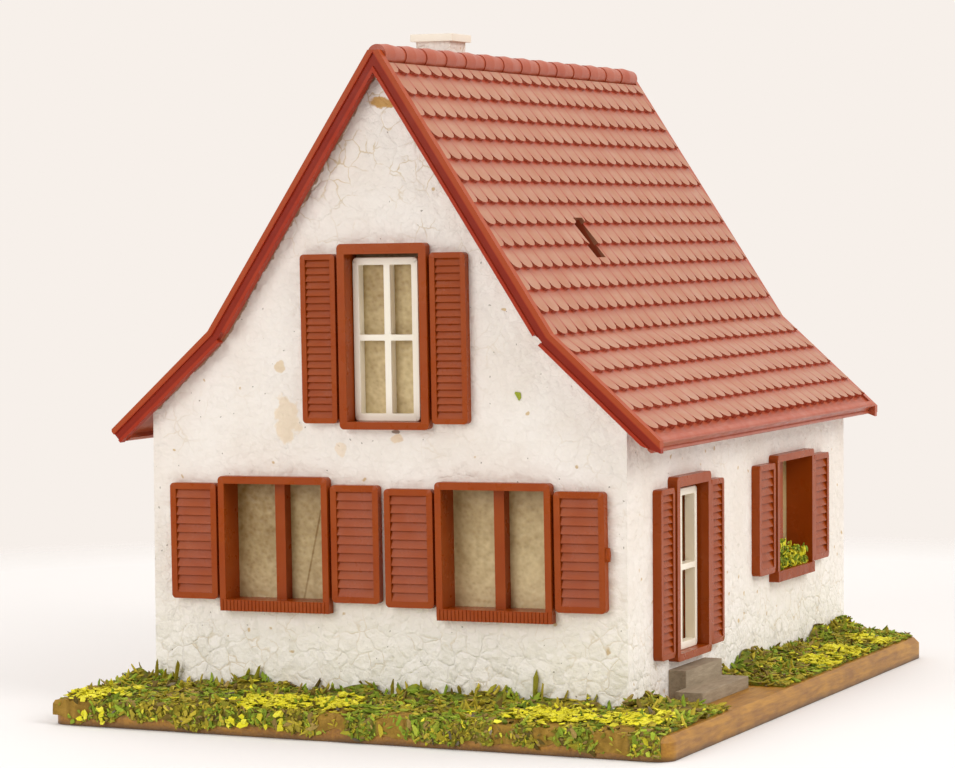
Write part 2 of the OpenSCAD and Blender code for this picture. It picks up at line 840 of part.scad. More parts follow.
// Louvre field as one saw-toothed section: each slat leans out towards its lower edge
module louvres(w, h, count) {
    floor_y = louvre_d - shutter_t;
    lip = louvre_lip * louvre_d;
    root = louvre_root * louvre_d;
    rise = h / count;
    teeth = [
        for (i = [0 : count - 1]) each [
            [floor_y - lip, i * rise], [floor_y - root, (i + louvre_share) * rise],
            [floor_y - root, (i + 1) * rise],
        ]
    ];
    translate([-w / 2, 0, -h / 2]) rotate([90, 0, 90]) linear_extrude(w)
        polygon(concat([[floor_y + eps, 0]], teeth, [[floor_y + eps, h]]));
}

module shutter(w, h, border, count) {
    pocket_w = w - 2 * border;
    pocket_h = h - 2 * border;
    difference() {
        along_y(-shutter_t, 0) soft_rect(w, -h / 2, h / 2, shutter_r);
        along_y(-shutter_t - 1, louvre_d - shutter_t) upright_rect(pocket_w, -pocket_h / 2, pocket_h / 2);
    }
    louvres(pocket_w, pocket_h, count);
}

module shutter_pair(frame_w, w, h, border, count) {
    web_w = shutter_gap + 2 * web_lap;
    for (side = [-1, 1]) {
        translate([side * (frame_w / 2 + shutter_gap + w / 2), 0, 0]) shutter(w, h, border, count);
        translate([side * (frame_w + shutter_gap) / 2, 0, 0])
            along_y(-web_t, 0) upright_rect(web_w, shutter_r - h / 2, h / 2 - shutter_r);
    }
}

// Sill with a ribbed face
module ribbed_sill() {
    front = -frame_out - small_sill_out;
    ribs = round(small_frame_w / sill_rib);
    pitch = small_frame_w / ribs;
    groove = rib_groove * pitch;
    side = (1 - rib_flat) / 2;
    ridges = [
        for (i = [0 : ribs - 1]) each [
            [(i + side) * pitch, front], [(i + 1 - side) * pitch, front], [(i + 1) * pitch, front + groove],
        ]
    ];
    translate([-small_frame_w / 2, 0, small_frame_z0]) linear_extrude(small_sill_h)
        polygon(concat([[0, -eps], [0, front + groove]], ridges, [[small_frame_w, -eps]]));
}

module small_window() {
    color(shutter_brown) {
        frame_and_sleeve(small_frame_w, small_frame_z0, small_frame_z1,
            small_open_w, small_open_z0, small_open_z1, small_sleeve_end);
        ribbed_sill();
        along_y(small_sleeve_end - bar_depth, small_sleeve_end)
            upright_rect(small_bar_w, small_open_z0 - eps, small_open_z1 + eps);
        shutter_pair(small_frame_w, small_shutter_w, small_shutter_h, small_border, small_louvres);
    }
}

module tall_window() {
    color(shutter_brown) {
        frame_and_sleeve(tall_frame_w, tall_frame_z0, tall_frame_z1,
            tall_open_w, tall_open_z0, tall_open_z1, tall_sleeve_end);
        shutter_pair(tall_frame_w, tall_shutter_w, tall_shutter_h, tall_border, tall_louvres);
    }
}

// Ivory sash with its face at y, moved right by shift, its upright bar a further bar_shift
module sash(y, shift, bar_shift) {
    w = tall_open_w - 2 * sash_gap;
    z0 = tall_open_z0;
    z1 = tall_open_z1 - sash_top_gap;
    split = z0 + sash_split * (z1 - z0);
    inner = w / 2 - sash_stile;
    color(ivory) translate([shift, 0, 0]) along_y(y, y + sash_t) difference() {
        soft_rect(w, z0, z1, sash_r);
        for (pane = [[-inner, bar_shift - sash_bar / 2], [bar_shift + sash_bar / 2, inner]])
            for (rise = [[z0 + sash_rail, split - sash_cross / 2], [split + sash_cross / 2, z1 - sash_rail]])
                translate([pane[0], rise[0]]) square([pane[1] - pane[0], rise[1] - rise[0]]);
    }
}
module gable_sash() {
    sash(tall_sleeve_end - sash_t, -gable_sash_shift, gable_bar_shift);
}

// Film sheet behind a sleeve that ends at y, widened by extra to cover a neighbouring window
module film(y, w, z0, z1, extra = 0) {
    color(film_tan) along_y(y, y + film_t) upright_rect(w + extra, z0, z1, sleeve_t + film_lap);
}
module small_film(extra = 0) {
    film(small_sleeve_end, small_open_w, small_open_z0, small_open_z1, extra);
}
module tall_film() {
    film(tall_sleeve_end, tall_open_w, tall_open_z0, tall_open_z1);
}

module front_gable_window() {
    at_house() on_front(gable_shift, gable_z) tall_window();
}
module front_left_window() {
    at_house() on_front(front_shift - small_x, small_z) small_window();
}
module front_right_window() {
    at_house() on_front(front_shift + small_x, small_z) small_window();
}
module door_surround() {
    at_house() on_right(door_y, door_z) tall_window();
}
module right_window() {
    at_house() on_right(right_window_y, right_window_z) small_window();
}
module rear_gable_window() {
    at_house() on_rear(0, gable_z) tall_window();
}
module rear_left_window() {
    at_house() on_rear(small_x, small_z) small_window();
}
module rear_right_window() {
    at_house() on_rear(-small_x, small_z) small_window();
}
module left_front_window() {
    at_house() on_left(house_d / 2 - left_window_off, small_z) small_window();
}
module left_rear_window() {
    at_house() on_left(house_d / 2 + left_window_off, small_z) small_window();
}

module front_gable_sash() {
    at_house() on_front(gable_shift, gable_z) gable_sash();
}
module door_sash() {
    at_house() on_right(door_y, door_z) sash(0, -door_sash_shift, -door_bar_shift);
}
module rear_gable_sash() {
    at_house() on_rear(0, gable_z) gable_sash();
}

module front_gable_film() {
    at_house() on_front(gable_shift, gable_z) tall_film();
}
module front_lower_film() {
    at_house() on_front(front_shift, small_z) small_film(2 * small_x);
}
module door_film() {
    at_house() on_right(door_y, door_z) tall_film();
}
module right_window_film() {
    at_house() on_right(right_window_y, right_window_z) small_film();
}
module rear_gable_film() {
    at_house() on_rear(0, gable_z) tall_film();
}
module rear_lower_film() {
    at_house() on_rear(0, small_z) small_film(2 * small_x);
}
module left_front_film() {
    at_house() on_left(house_d / 2 - left_window_off, small_z) small_film();
}
module left_rear_film() {
    at_house() on_left(house_d / 2 + left_window_off, small_z) small_film();
}

// Steps

module upper_step() {
    color(step_grey) at_house() translate([half_w, upper_step_y - upper_step_l / 2, base_t])
        cube([upper_step_d, upper_step_l, upper_step_h]);
}

module lower_step() {
    color(step_grey) at_house() translate([half_w + upper_step_d, lower_step_y - lower_step_l / 2, base_t])
        cube([lower_step_d, lower_step_l, lower_step_h]);
}

// Turf: slabs whose outer edge wanders along the board

turf_step = 7;

// Edge of a turf slab at distance t along it, inside by up to twice the wander
function wander(t) = turf_wander * (1 + 0.6 * sin(t * wander_long) + 0.4 * sin(t * wander_short));

// Slab along X from 0 to length, its wandering edge at y = 0 and its straight edge at y = depth
module turf_slab(length, depth) {
    count = max(2, round(length / turf_step));
    edge = [for (i = [0 : count]) let (t = length * i / count) [t, wander(t)]];
    color(turf_green) translate([0, 0, base_t]) linear_extrude(turf_t)
        polygon(concat(edge, [[length, depth], [0, depth]]));
}

board_x0 = -base_w / 2 + turf_margin;
board_x1 = base_w / 2 - turf_margin;
board_y0 = -base_d / 2 + turf_margin;
house_x0 = house_x - half_w - turf_gap;
house_x1 = house_x + half_w + turf_gap;
house_y0 = house_y - turf_gap;
house_y1 = house_y + house_d + turf_gap;
path_y0 = house_y + lower_step_y - lower_step_l / 2 - path_side;
path_y1 = house_y + lower_step_y + lower_step_l / 2 + path_side;

module turf_front() {
    translate([board_x0, board_y0, 0]) turf_slab(board_x1 - board_x0, house_y0 - board_y0);
}
module turf_left() {
    translate([board_x0, house_y1, 0]) rotate([0, 0, -90])
        turf_slab(house_y1 - house_y0, house_x0 - board_x0);
}
module turf_right_front() {
    translate([board_x1, house_y0, 0]) rotate([0, 0, 90])
        turf_slab(path_y0 - house_y0, board_x1 - house_x1);
}
module turf_right_rear() {
    translate([board_x1, path_y1, 0]) rotate([0, 0, 90])
        turf_slab(house_y1 - path_y1, board_x1 - house_x1);
}

// Row of scatter plants standing on the sill of the right wall's window
module sill_plants() {
    w = small_open_w - 2 * plant_side;
    front = plant_back - frame_out;
    bumps = [for (a = [0 : 15 : 180]) [-w / 2 * cos(a), plant_h * (0.62 + 0.38 * abs(cos(1.5 * a)))]];
    color(turf_green) at_house() on_right(right_window_y, right_window_z)
        translate([0, 0, small_open_z0]) along_y(front, front + plant_d)
            polygon(concat([[w / 2, 0], [-w / 2, 0]], bumps));
}

base_board();
stopper();
front_gable_wall();
rear_gable_wall();
left_wall();
right_wall();
front_left_post();
front_right_post();
rear_left_post();
rear_right_post();
roof_left();
roof_right();
roof_left_tiles();
roof_right_tiles();
front_left_verge_board();
front_right_verge_board();
rear_left_verge_board();
rear_right_verge_board();
left_fascia();
right_fascia();
ridge_cap();
chimney_stack();
chimney_cap();
front_gable_window();
front_left_window();
front_right_window();
door_surround();
right_window();
rear_gable_window();
rear_left_window();
rear_right_window();
left_front_window();
left_rear_window();
front_gable_sash();
door_sash();
rear_gable_sash();
front_gable_film();
front_lower_film();
door_film();
right_window_film();
rear_gable_film();
rear_lower_film();
left_front_film();
left_rear_film();
upper_step();
lower_step();
turf_front();
turf_left();
turf_right_front();
turf_right_rear();
sill_plants();
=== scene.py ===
"""Looks, light and camera for the house-shaped money box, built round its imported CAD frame."""

import json
import logging
import math
import random
from contextlib import contextmanager
from dataclasses import dataclass
from enum import Enum
from typing import Any, Callable, Iterator

import bpy
import numpy as np
from mathutils import Euler, Matrix, Vector, noise


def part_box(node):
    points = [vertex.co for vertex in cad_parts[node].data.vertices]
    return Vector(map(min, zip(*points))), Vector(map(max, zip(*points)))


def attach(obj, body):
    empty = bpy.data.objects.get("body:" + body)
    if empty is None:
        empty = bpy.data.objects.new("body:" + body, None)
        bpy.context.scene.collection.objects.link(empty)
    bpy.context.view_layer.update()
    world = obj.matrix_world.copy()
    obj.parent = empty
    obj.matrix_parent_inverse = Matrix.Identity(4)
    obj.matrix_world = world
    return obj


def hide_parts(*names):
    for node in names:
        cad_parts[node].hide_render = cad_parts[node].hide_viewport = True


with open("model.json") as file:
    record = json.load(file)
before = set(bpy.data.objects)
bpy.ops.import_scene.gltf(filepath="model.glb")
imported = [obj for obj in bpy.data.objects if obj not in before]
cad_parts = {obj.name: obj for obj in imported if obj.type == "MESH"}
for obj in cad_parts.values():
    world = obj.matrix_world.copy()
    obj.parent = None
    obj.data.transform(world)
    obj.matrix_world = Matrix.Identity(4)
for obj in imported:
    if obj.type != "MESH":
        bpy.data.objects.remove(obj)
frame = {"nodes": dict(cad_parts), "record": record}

LOG = logging.getLogger("money_box")
MM = 0.001
MM2_PER_CM2 = 100
Triple = tuple[float, float, float]
Colour = tuple[float, float, float, float]
Node = bpy.types.Node
Socket = bpy.types.NodeSocket
Piece = bpy.types.Object


def linear(hex_colour: str) -> Colour:
    """Turn an sRGB hex value into a linear colour, by the sRGB standard's curve.

    Args:
        hex_colour: Six hex digits after a hash sign.

    Returns:
        Linear red, green, blue and an alpha of 1.
    """
    parts = [int(hex_colour[i : i + 2], 16) / 255 for i in (1, 3, 5)]
    low = [c / 12.92 if c <= 0.04045 else ((c + 0.055) / 1.055) ** 2.4 for c in parts]
    return (low[0], low[1], low[2], 1.0)


def per_mm(size: float) -> float:
    """Texture scale, on coordinates in metres, of a pattern whose features measure size millimetres."""
    return 1 / (size * MM)


@contextmanager
def editing() -> Iterator[None]:
    """Edit the whole mesh of the active object, then go back to object mode."""
    bpy.ops.object.mode_set(mode="EDIT")
    bpy.ops.mesh.select_all(action="SELECT")
    yield
    bpy.ops.object.mode_set(mode="OBJECT")


class Net:
    """Nodes of a material or a world: their tree, the shader and the coordinates of the patterns."""

    def __init__(self, owner: bpy.types.Material | bpy.types.World, shader: str, space: str) -> None:
        """Turn on the owner's nodes.

        Args:
            owner: Material or world that gets the nodes.
            shader: Name of its shader node.
            space: Coordinates that its patterns follow.
        """
        owner.use_nodes = True
        self.tree = owner.node_tree
        self.skin = self.tree.nodes[shader]
        self.place = self.add("TexCoord").outputs[space]
        self.x, self.y, self.z = self.add("SeparateXYZ", self.place).outputs

    def add(self, kind: str, *inputs: Any, named: dict[str, Any] | None = None, **settings: Any) -> Node:
        """Add a shader node with its settings and links.

        Args:
            kind: Blender's type name without ShaderNode, then the operation of a node that has one.
            inputs: Values for the first sockets in use, in order.
            named: Values for sockets by name.
            settings: Properties of the node.

        Returns:
            The new node.
        """
        kind, _, operation = kind.partition(" ")
        made = self.tree.nodes.new(f"ShaderNode{kind}")
        if operation:
            made.operation = operation
        for key, value in settings.items():
            setattr(made, key, value)
        in_use = [i for i, socket in enumerate(made.inputs) if socket.enabled]
        self.wire(made, dict(zip(in_use, inputs)) | (named or {}))
        return made

    def wire(self, node: Node, values: dict[Any, Any]) -> None:
        """Set or link a node's sockets.

        Args:
            node: Node whose sockets are set.
            values: Values by socket name or index. A hex value stands for its linear colour, and a
                node for its first output in use.
        """
        for key, value in values.items():
            if isinstance(value, str):
                value = linear(value)
            if isinstance(value, Node):
                value = next(s for s in value.outputs if s.enabled)
            if isinstance(value, Socket):
                self.tree.links.new(value, node.inputs[key])
            else:
                node.inputs[key].default_value = value


@dataclass(frozen=True)
class Finish:
    """A surface finish that makes its own material once."""

    name: str

    def paint(self, net: Net) -> None:
        """Wire the finish's nodes into the shader."""
        raise NotImplementedError

    def material(self) -> bpy.types.Material:
        """Make the finish's material on first use.

        Returns:
            The material.
        """
        found = bpy.data.materials.get(self.name)
        if found:
            return found
        made = bpy.data.materials.new(self.name)
        self.paint(Net(made, "Principled BSDF", "Object"))
        return made

    def dress(self, piece: Piece) -> None:
        """Give the piece this finish all over."""
        piece.data.materials.clear()
        piece.data.materials.append(self.material())


@dataclass(frozen=True)
class RoofLine:
    """Bent line of the roof plates' upper face across the house, in millimetres and degrees."""

    house_x: float = 0.0
    ridge_z: float = 230.08
    bend_x: float = 63.25
    bend_z: float = 133.43
    pitch_upper: float = 56.8
    pitch_lower: float = 41.9

    def slopes(self) -> tuple[Triple, ...]:
        """Place of the upper end of both slopes, across and up, and their angle in radians."""
        upper, lower = math.radians(self.pitch_upper), math.radians(self.pitch_lower)
        return (0.0, self.ridge_z, upper), (self.bend_x, self.bend_z, lower)

    def across(self, net: Net) -> Node:
        """Distance of a point from the middle of the house in metres, as a node."""
        off = net.add("Math SUBTRACT", net.x, self.house_x * MM)
        return net.add("Math ABSOLUTE", off)

    def above(self, net: Net) -> Node:
        """Distance of a point from the line.

        Args:
            net: Nodes of the material.

        Returns:
            The distance in millimetres, positive outside the roof, as a node.
        """
        across = self.across(net)
        far = []
        for x0, z0, pitch in self.slopes():
            run = net.add("Math SUBTRACT", across, x0 * MM)
            run = net.add("Math MULTIPLY", run, math.sin(pitch) / MM)
            rise = net.add("Math SUBTRACT", net.z, z0 * MM)
            far.append(net.add("Math MULTIPLY_ADD", rise, math.cos(pitch) / MM, run))
        return net.add("Math MINIMUM", *far)


@dataclass(frozen=True)
class Stain:
    """A mark on the front gable, in millimetres of the part's frame."""

    x: float
    z: float
    half_x: float
    half_z: float
    colour: str
    strength: float
    ragged: float = 4.0

    def mask(self, net: Net) -> Node:
        """Draw the ragged oval of the mark.

        Args:
            net: Nodes of the material.

        Returns:
            The mask, as a node.
        """
        offset = net.add("VectorMath SUBTRACT", net.place, (self.x * MM, 0, self.z * MM))
        reach = (1 / (self.half_x * MM), 0.0, 1 / (self.half_z * MM))
        shrunk = net.add("VectorMath MULTIPLY", offset, reach)
        far = net.add("VectorMath LENGTH", shrunk)
        ragged = net.add("TexNoise", net.place, per_mm(self.ragged), 4.0)
        rim = net.add("Math MULTIPLY_ADD", ragged, 1.6, far)
        return net.add("MapRange", rim, 1.5, 1.7, self.strength, 0.0)


@dataclass(frozen=True)
class Speck:
    """Small dots in the paint: their spacing in millimetres, radius as a share of it, and frequency."""

    gap: float
    radius: float
    tint: str
    odds: float

    def mask(self, net: Net, place: Node) -> Node:
        """Draw the dots.

        Args:
            net: Nodes of the material.
            place: Warped coordinates.

        Returns:
            The mask, as a node.
        """
        dots = net.add("TexVoronoi", place, per_mm(self.gap))
        spot = net.add("MapRange", dots, 0.6 * self.radius, self.radius, 0.75, 0.0)
        pick = net.add("SeparateColor", dots.outputs["Color"])
        chosen = net.add("Math LESS_THAN", pick, self.odds)
        return net.add("Math MULTIPLY", spot, chosen)


@dataclass(frozen=True)
class CrackedRender(Finish):
    """Thick white emulsion paint on board, shrunk into flakes with beige showing in the cracks."""

    white: str = "#F5F0E9"
    shade: str = "#ECE4DA"
    # Whiter tint at the foot of the wall: painted bounce light from the floor.
    painted_bounce_tint: str = "#FDFAF4"
    beige: str = "#D3BE95"
    cell: float = 6.2
    wander: float = 6.0
    wobble: float = 7.0
    patch: float = 34.0
    cloud: float = 22.0
    stipple: float = 3.2
    crack_run: float = 9.0
    low_edge: float = 52.0
    high_edge: float = 150.0
    high_fade: float = 30.0
    specks: tuple[Speck, ...] = (Speck(4.2, 0.085, "#857D6E", 0.6), Speck(9.0, 0.1, "#C8A666", 0.55))
    stains: tuple[Stain, ...] = ()
    roof: RoofLine | None = None
    # Strip under the roof line: unpainted board and painted shadow under the verge.
    bare_and_shade: str = "#A9805C"
    bare_shadow_low: float = -3.5
    bare_shadow_ragged: float = 3.0

    def paint(self, net: Net) -> None:
        """Flakes near the foot, whiter there as painted bounce light, fine cracks near the apex, specks all
        over, then the stains and the strip under the roof.

        Args:
            net: Nodes of the material.
        """
        wobble = net.add("TexNoise", net.place, per_mm(self.wobble), 3.0).outputs["Color"]
        swing = net.add("VectorMath SUBTRACT", wobble, (0.5, 0.5, 0.5))
        warped = net.add("VectorMath MULTIPLY_ADD", swing, (self.wander * MM,) * 3, net.place)
        edge = net.add("TexVoronoi", warped, per_mm(self.cell), feature="DISTANCE_TO_EDGE")
        low_z, high_z = self.low_edge * MM, self.high_edge * MM
        low = net.add("MapRange", net.z, low_z, 0.45 * low_z)
        high = net.add("MapRange", net.z, high_z, high_z + self.high_fade * MM, 0.0, 0.9)
        zone = net.add("Math MAXIMUM", low, high)
        patchy = net.add("TexNoise", net.place, per_mm(self.patch), 2.0)
        blotch = net.add("MapRange", patchy, 0.46, 0.64, 0.06, 0.5)
        flaked = net.add("Math MAXIMUM", zone, blotch)
        clouds = net.add("TexNoise", net.place, per_mm(self.cloud), 4.0)
        tone = net.add("MapRange", clouds, 0.38, 0.66, 0.0, 0.7)
        # Painted bounce light: the foot of the wall is tinted whiter, as if lit from the floor.
        painted_bounce = net.add("Math MULTIPLY", low, 0.9)
        cracks = self._cracks(net, edge, flaked, high)
        layers = [(tone, self.shade), (painted_bounce, self.painted_bounce_tint), (cracks, self.beige)]
        layers += [(speck.mask(net, warped), speck.tint) for speck in self.specks]
        layers += [(stain.mask(net), stain.colour) for stain in self.stains]
        if self.roof:
            # Strip under the roof: partly unpainted board, partly painted shadow under the verge.
            layers.append((self._bare_and_shadow_strip(net), self.bare_and_shade))
        colour = self.white
        for mask, tint in layers:
            colour = net.add("Mix", mask, colour, tint, data_type="RGBA")
        depth = net.add("MapRange", patchy, 0.36, 0.6, 0.02, 0.3)
        brim = net.add("MapRange", edge, 0.0, 0.12, 0.0, depth, interpolation_type="SMOOTHSTEP")
        flakes = net.add("Math ADD", self._flakes(net, warped, self.cell), brim)
        relief = net.add("Math MULTIPLY", flakes, flaked)
        stipple = net.add("TexNoise", net.place, per_mm(self.stipple), 5.0)
        for finer in (self._flakes(net, warped, 0.4 * self.cell), stipple):
            relief = net.add("Math MULTIPLY_ADD", finer, 1.2, relief)
        bump = net.add("Bump", named={"Distance": MM, "Height": relief, "Strength": 0.7})
        net.wire(net.skin, {"Base Color": colour, "Normal": bump, "Roughness": 0.82})

    def _cracks(self, net: Net, edge: Node, flaked: Node, high: Node) -> Node:
        """Draw broken lines between the flakes, dirtier near the apex.

        Args:
            net: Nodes of the material.
            edge: Distance to the nearest flake edge.
            flaked: How much the paint has flaked.
            high: How near the apex is.

        Returns:
            The mask of the lines, as a node.
        """
        crack = net.add("MapRange", edge, 0.0, 0.045, 1.0, 0.0)
        broken = net.add("TexNoise", net.place, per_mm(self.crack_run), 3.0)
        broken = net.add("Math MULTIPLY_ADD", high, 0.015, broken)
        kept = net.add("MapRange", broken, 0.47, 0.62)
        soil = net.add("MapRange", high, 0.0, 0.9, 0.6, 1.0)
        for share in (kept, flaked, soil):
            crack = net.add("Math MULTIPLY", crack, share)
        return crack

    def _flakes(self, net: Net, place: Node, size: float) -> Node:
        """Height of paint flakes that each lie at their own height and slant.

        Args:
            net: Nodes of the material.
            place: Warped coordinates.
            size: Width of a flake in millimetres.

        Returns:
            The height in millimetres, as a node.
        """
        cells = net.add("TexVoronoi", place, per_mm(size)).outputs
        offset = net.add("VectorMath SUBTRACT", place, cells["Position"])
        lean = net.add("VectorMath SUBTRACT", cells["Color"], (0.5, 0.5, 0.5))
        tilt = net.add("VectorMath DOT_PRODUCT", offset, lean)
        tilt = net.add("Math MULTIPLY", tilt, 0.3 / MM)
        step = net.add("SeparateColor", cells["Color"])
        return net.add("Math MULTIPLY_ADD", step, 0.3, tilt)

    def _bare_and_shadow_strip(self, net: Net) -> Node:
        """Draw the ragged strip along the roof: unpainted board where the brush did not reach, and painted
        shadow.

        Args:
            net: Nodes of the material.

        Returns:
            The mask of the strip, as a node.
        """
        ragged = net.add("TexNoise", net.place, per_mm(self.bare_shadow_ragged), 4.0)
        under = net.add("Math MULTIPLY_ADD", ragged, 3.0, self.roof.above(net))
        return net.add("MapRange", under, self.bare_shadow_low + 1.5, self.bare_shadow_low + 1.9, 0.0, 0.9)


@dataclass(frozen=True)
class Moulding(Finish):
    """Injection-moulded polystyrene: an even colour, a soft gloss and a faint ripple from the mould."""

    colour: str
    worn: str
    roughness: float = 0.38
    sheen: float = 0.5
    ripple: float = 3.0
    ior: float = 1.59
    cloud: float = 14.0
    smear: float = 6.0

    def paint(self, net: Net) -> None:
        """Colour with its paler, handled patches, uneven gloss and mould ripple.

        Args:
            net: Nodes of the material.
        """
        cloud = net.add("TexNoise", net.place, per_mm(self.cloud), 5.0)
        amount = net.add("MapRange", cloud, 0.40, 0.72, 0.0, 0.55)
        smear = net.add("TexNoise", net.place, per_mm(self.smear), 4.0)
        wave = net.add("TexNoise", net.place, per_mm(self.ripple), 3.0)
        shader = {
            "Base Color": net.add("Mix", amount, self.colour, self.worn, data_type="RGBA"),
            "IOR": self.ior,
            "Specular IOR Level": self.sheen,
            "Roughness": net.add("MapRange", smear, 0.3, 0.7, self.roughness - 0.07, self.roughness + 0.1),
            "Normal": net.add("Bump", named={"Distance": 0.06 * MM, "Height": wave}),
        }
        net.wire(net.skin, shader)


@dataclass(frozen=True)
class TileMoulding(Moulding):
    """The same polystyrene pressed into rows of tiles, pale on the open tile, with painted shade in deeper
    red between them.
    """

    roof: RoofLine = RoofLine()
    first_y: float = 0.0
    tile_w: float = 8.9
    upper_course: float = 8.85
    lower_course: float = 9.37
    tip_depth: float = 3.4
    joint_wide: float = 0.8
    joint_thin: float = 0.35
    # Deeper red painted as shade in the joints, the notches and under each course.
    bare_and_shade: str = "#A23A1C"

    def paint(self, net: Net) -> None:
        """Moulded plastic, pale on the open tiles, with deeper red painted as shade between and under them.

        Args:
            net: Nodes of the material.
        """
        super().paint(net)
        upper, lower = self.roof.slopes()
        bend = self.roof.bend_x / math.cos(upper[2])
        below = net.add("Math LESS_THAN", net.z, (self.roof.bend_z + 1.0) * MM)
        on_upper = self._painted_shade(net, upper, bend, self.upper_course)
        on_lower = self._painted_shade(net, lower, 0.0, self.lower_course)
        tile_shade = net.add("Mix", below, on_upper, on_lower)
        own = net.skin.inputs["Base Color"].links[0].from_socket
        # Painted shade: the deeper red goes over the joints, the notches and the strip under each course.
        net.wire(net.skin, {"Base Color": net.add("Mix", tile_shade, own, self.bare_and_shade, data_type="RGBA")})

    def _painted_shade(self, net: Net, slope: Triple, start: float, course: float) -> Node:
        """Mask of the painted shade: joints, notches and the strip under the course above.

        Args:
            net: Nodes of the material.
            slope: Place of the slope's upper end and its angle, as the roof line gives them.
            start: Line that the courses are counted up from, in millimetres down the slope.
            course: Length of one course in millimetres.

        Returns:
            1 in the painted shade and 0 on the open tile, as a node.
        """
        x0, z0, pitch = slope
        tip = self.tip_depth / course
        run = net.add("Math SUBTRACT", self.roof.across(net), x0 * MM)
        run = net.add("Math MULTIPLY", run, math.cos(pitch))
        drop = net.add("Math SUBTRACT", net.z, z0 * MM)
        down = net.add("Math MULTIPLY_ADD", drop, -math.sin(pitch), run)
        past = net.add("Math SUBTRACT", down, start * MM)
        count = net.add("Math MULTIPLY", past, -1 / (course * MM))
        row = net.add("Math FLOOR", count)
        part = net.add("Math FRACT", count)
        half = net.add("Math MULTIPLY", row, 0.5)
        tiles = net.add("Math SUBTRACT", net.y, self.first_y * MM)
        tiles = net.add("Math MULTIPLY_ADD", tiles, 1 / (self.tile_w * MM), half)
        share = net.add("Math FRACT", tiles)
        middle = net.add("Math SUBTRACT", share, 0.5)
        middle = net.add("Math ABSOLUTE", middle)
        wedge = net.add("MapRange", part, tip, 1.0, self.joint_wide, self.joint_thin)
        inset = net.add("Math SUBTRACT", 0.5, middle)
        inset = net.add("Math MULTIPLY", inset, self.tile_w)
        gap = net.add("Math DIVIDE", inset, wedge)
        joint = net.add("MapRange", gap, 0.5, 1.3, 0.9, 0.0)
        doubled = net.add("Math MULTIPLY", middle, 2.0)
        square = net.add("Math MULTIPLY", doubled, doubled)
        level = net.add("Math SUBTRACT", 1.0, square)
        level = net.add("Math SQRT", level)
        arch = net.add("Math MULTIPLY_ADD", level, tip, part)
        notch = net.add("MapRange", arch, 1.08 * tip, 1.02 * tip)
        # Painted shade under the course above.
        course_shade = net.add("MapRange", part, 0.62, 1.0, 0.0, 0.75)
        mask = net.add("Math MAXIMUM", joint, notch)
        return net.add("Math MAXIMUM", mask, course_shade)


@dataclass(frozen=True)
class VergeMoulding(Moulding):
    """The same polystyrene in a grooved strip, with a paler orange painted highlight on the rim and painted
    shade in the groove.
    """

    roof: RoofLine = RoofLine()
    # Paler orange painted highlight on the rim, and painted shade in the groove below it.
    rim: str = "#A84A22"
    groove_shade: str = "#7E1D0C"
    groove_high: float = 0.1
    groove_low: float = -2.5

    def paint(self, net: Net) -> None:
        """Moulded plastic, with a paler painted highlight above the groove and a darker painted shade in it.

        Args:
            net: Nodes of the material.
        """
        super().paint(net)
        above = self.roof.above(net)
        high, low = self.groove_high, self.groove_low
        rim = net.add("MapRange", above, high, high + 0.5, 0.0, 0.85)
        under = net.add("MapRange", above, high, high - 0.4, 0.0, 0.6)
        over = net.add("MapRange", above, low - 0.2, low + 0.3)
        groove = net.add("Math MULTIPLY", under, over)
        colour = net.skin.inputs["Base Color"].links[0].from_socket
        # Painted highlight on the rim, then painted shade in the groove.
        for mask, shade in ((rim, self.rim), (groove, self.groove_shade)):
            colour = net.add("Mix", mask, colour, shade, data_type="RGBA")
        net.wire(net.skin, {"Base Color": colour})


@dataclass(frozen=True)
class Fold:
    """A straight crease in a film, from its upper end to its foot, in millimetres."""

    x0: float
    z0: float
    x1: float
    z1: float

    def line(self, net: Net) -> Node:
        """Draw the painted shade along the crease.

        Args:
            net: Nodes of the material.

        Returns:
            The mask of the line, as a node.
        """
        long = math.hypot(self.x1 - self.x0, self.z1 - self.z0) * MM
        offset = net.add("VectorMath SUBTRACT", net.place, (self.x0 * MM, 0, self.z0 * MM))
        across = ((self.z1 - self.z0) / long, 0.0, (self.x0 - self.x1) / long)
        off = net.add("VectorMath DOT_PRODUCT", offset, across)
        off = net.add("Math ABSOLUTE", off)
        line = net.add("MapRange", off, 0.15, 0.5, 0.24, 0.0)
        below = net.add("Math LESS_THAN", net.z, self.z0 * MM)
        return net.add("Math MULTIPLY", line, below)


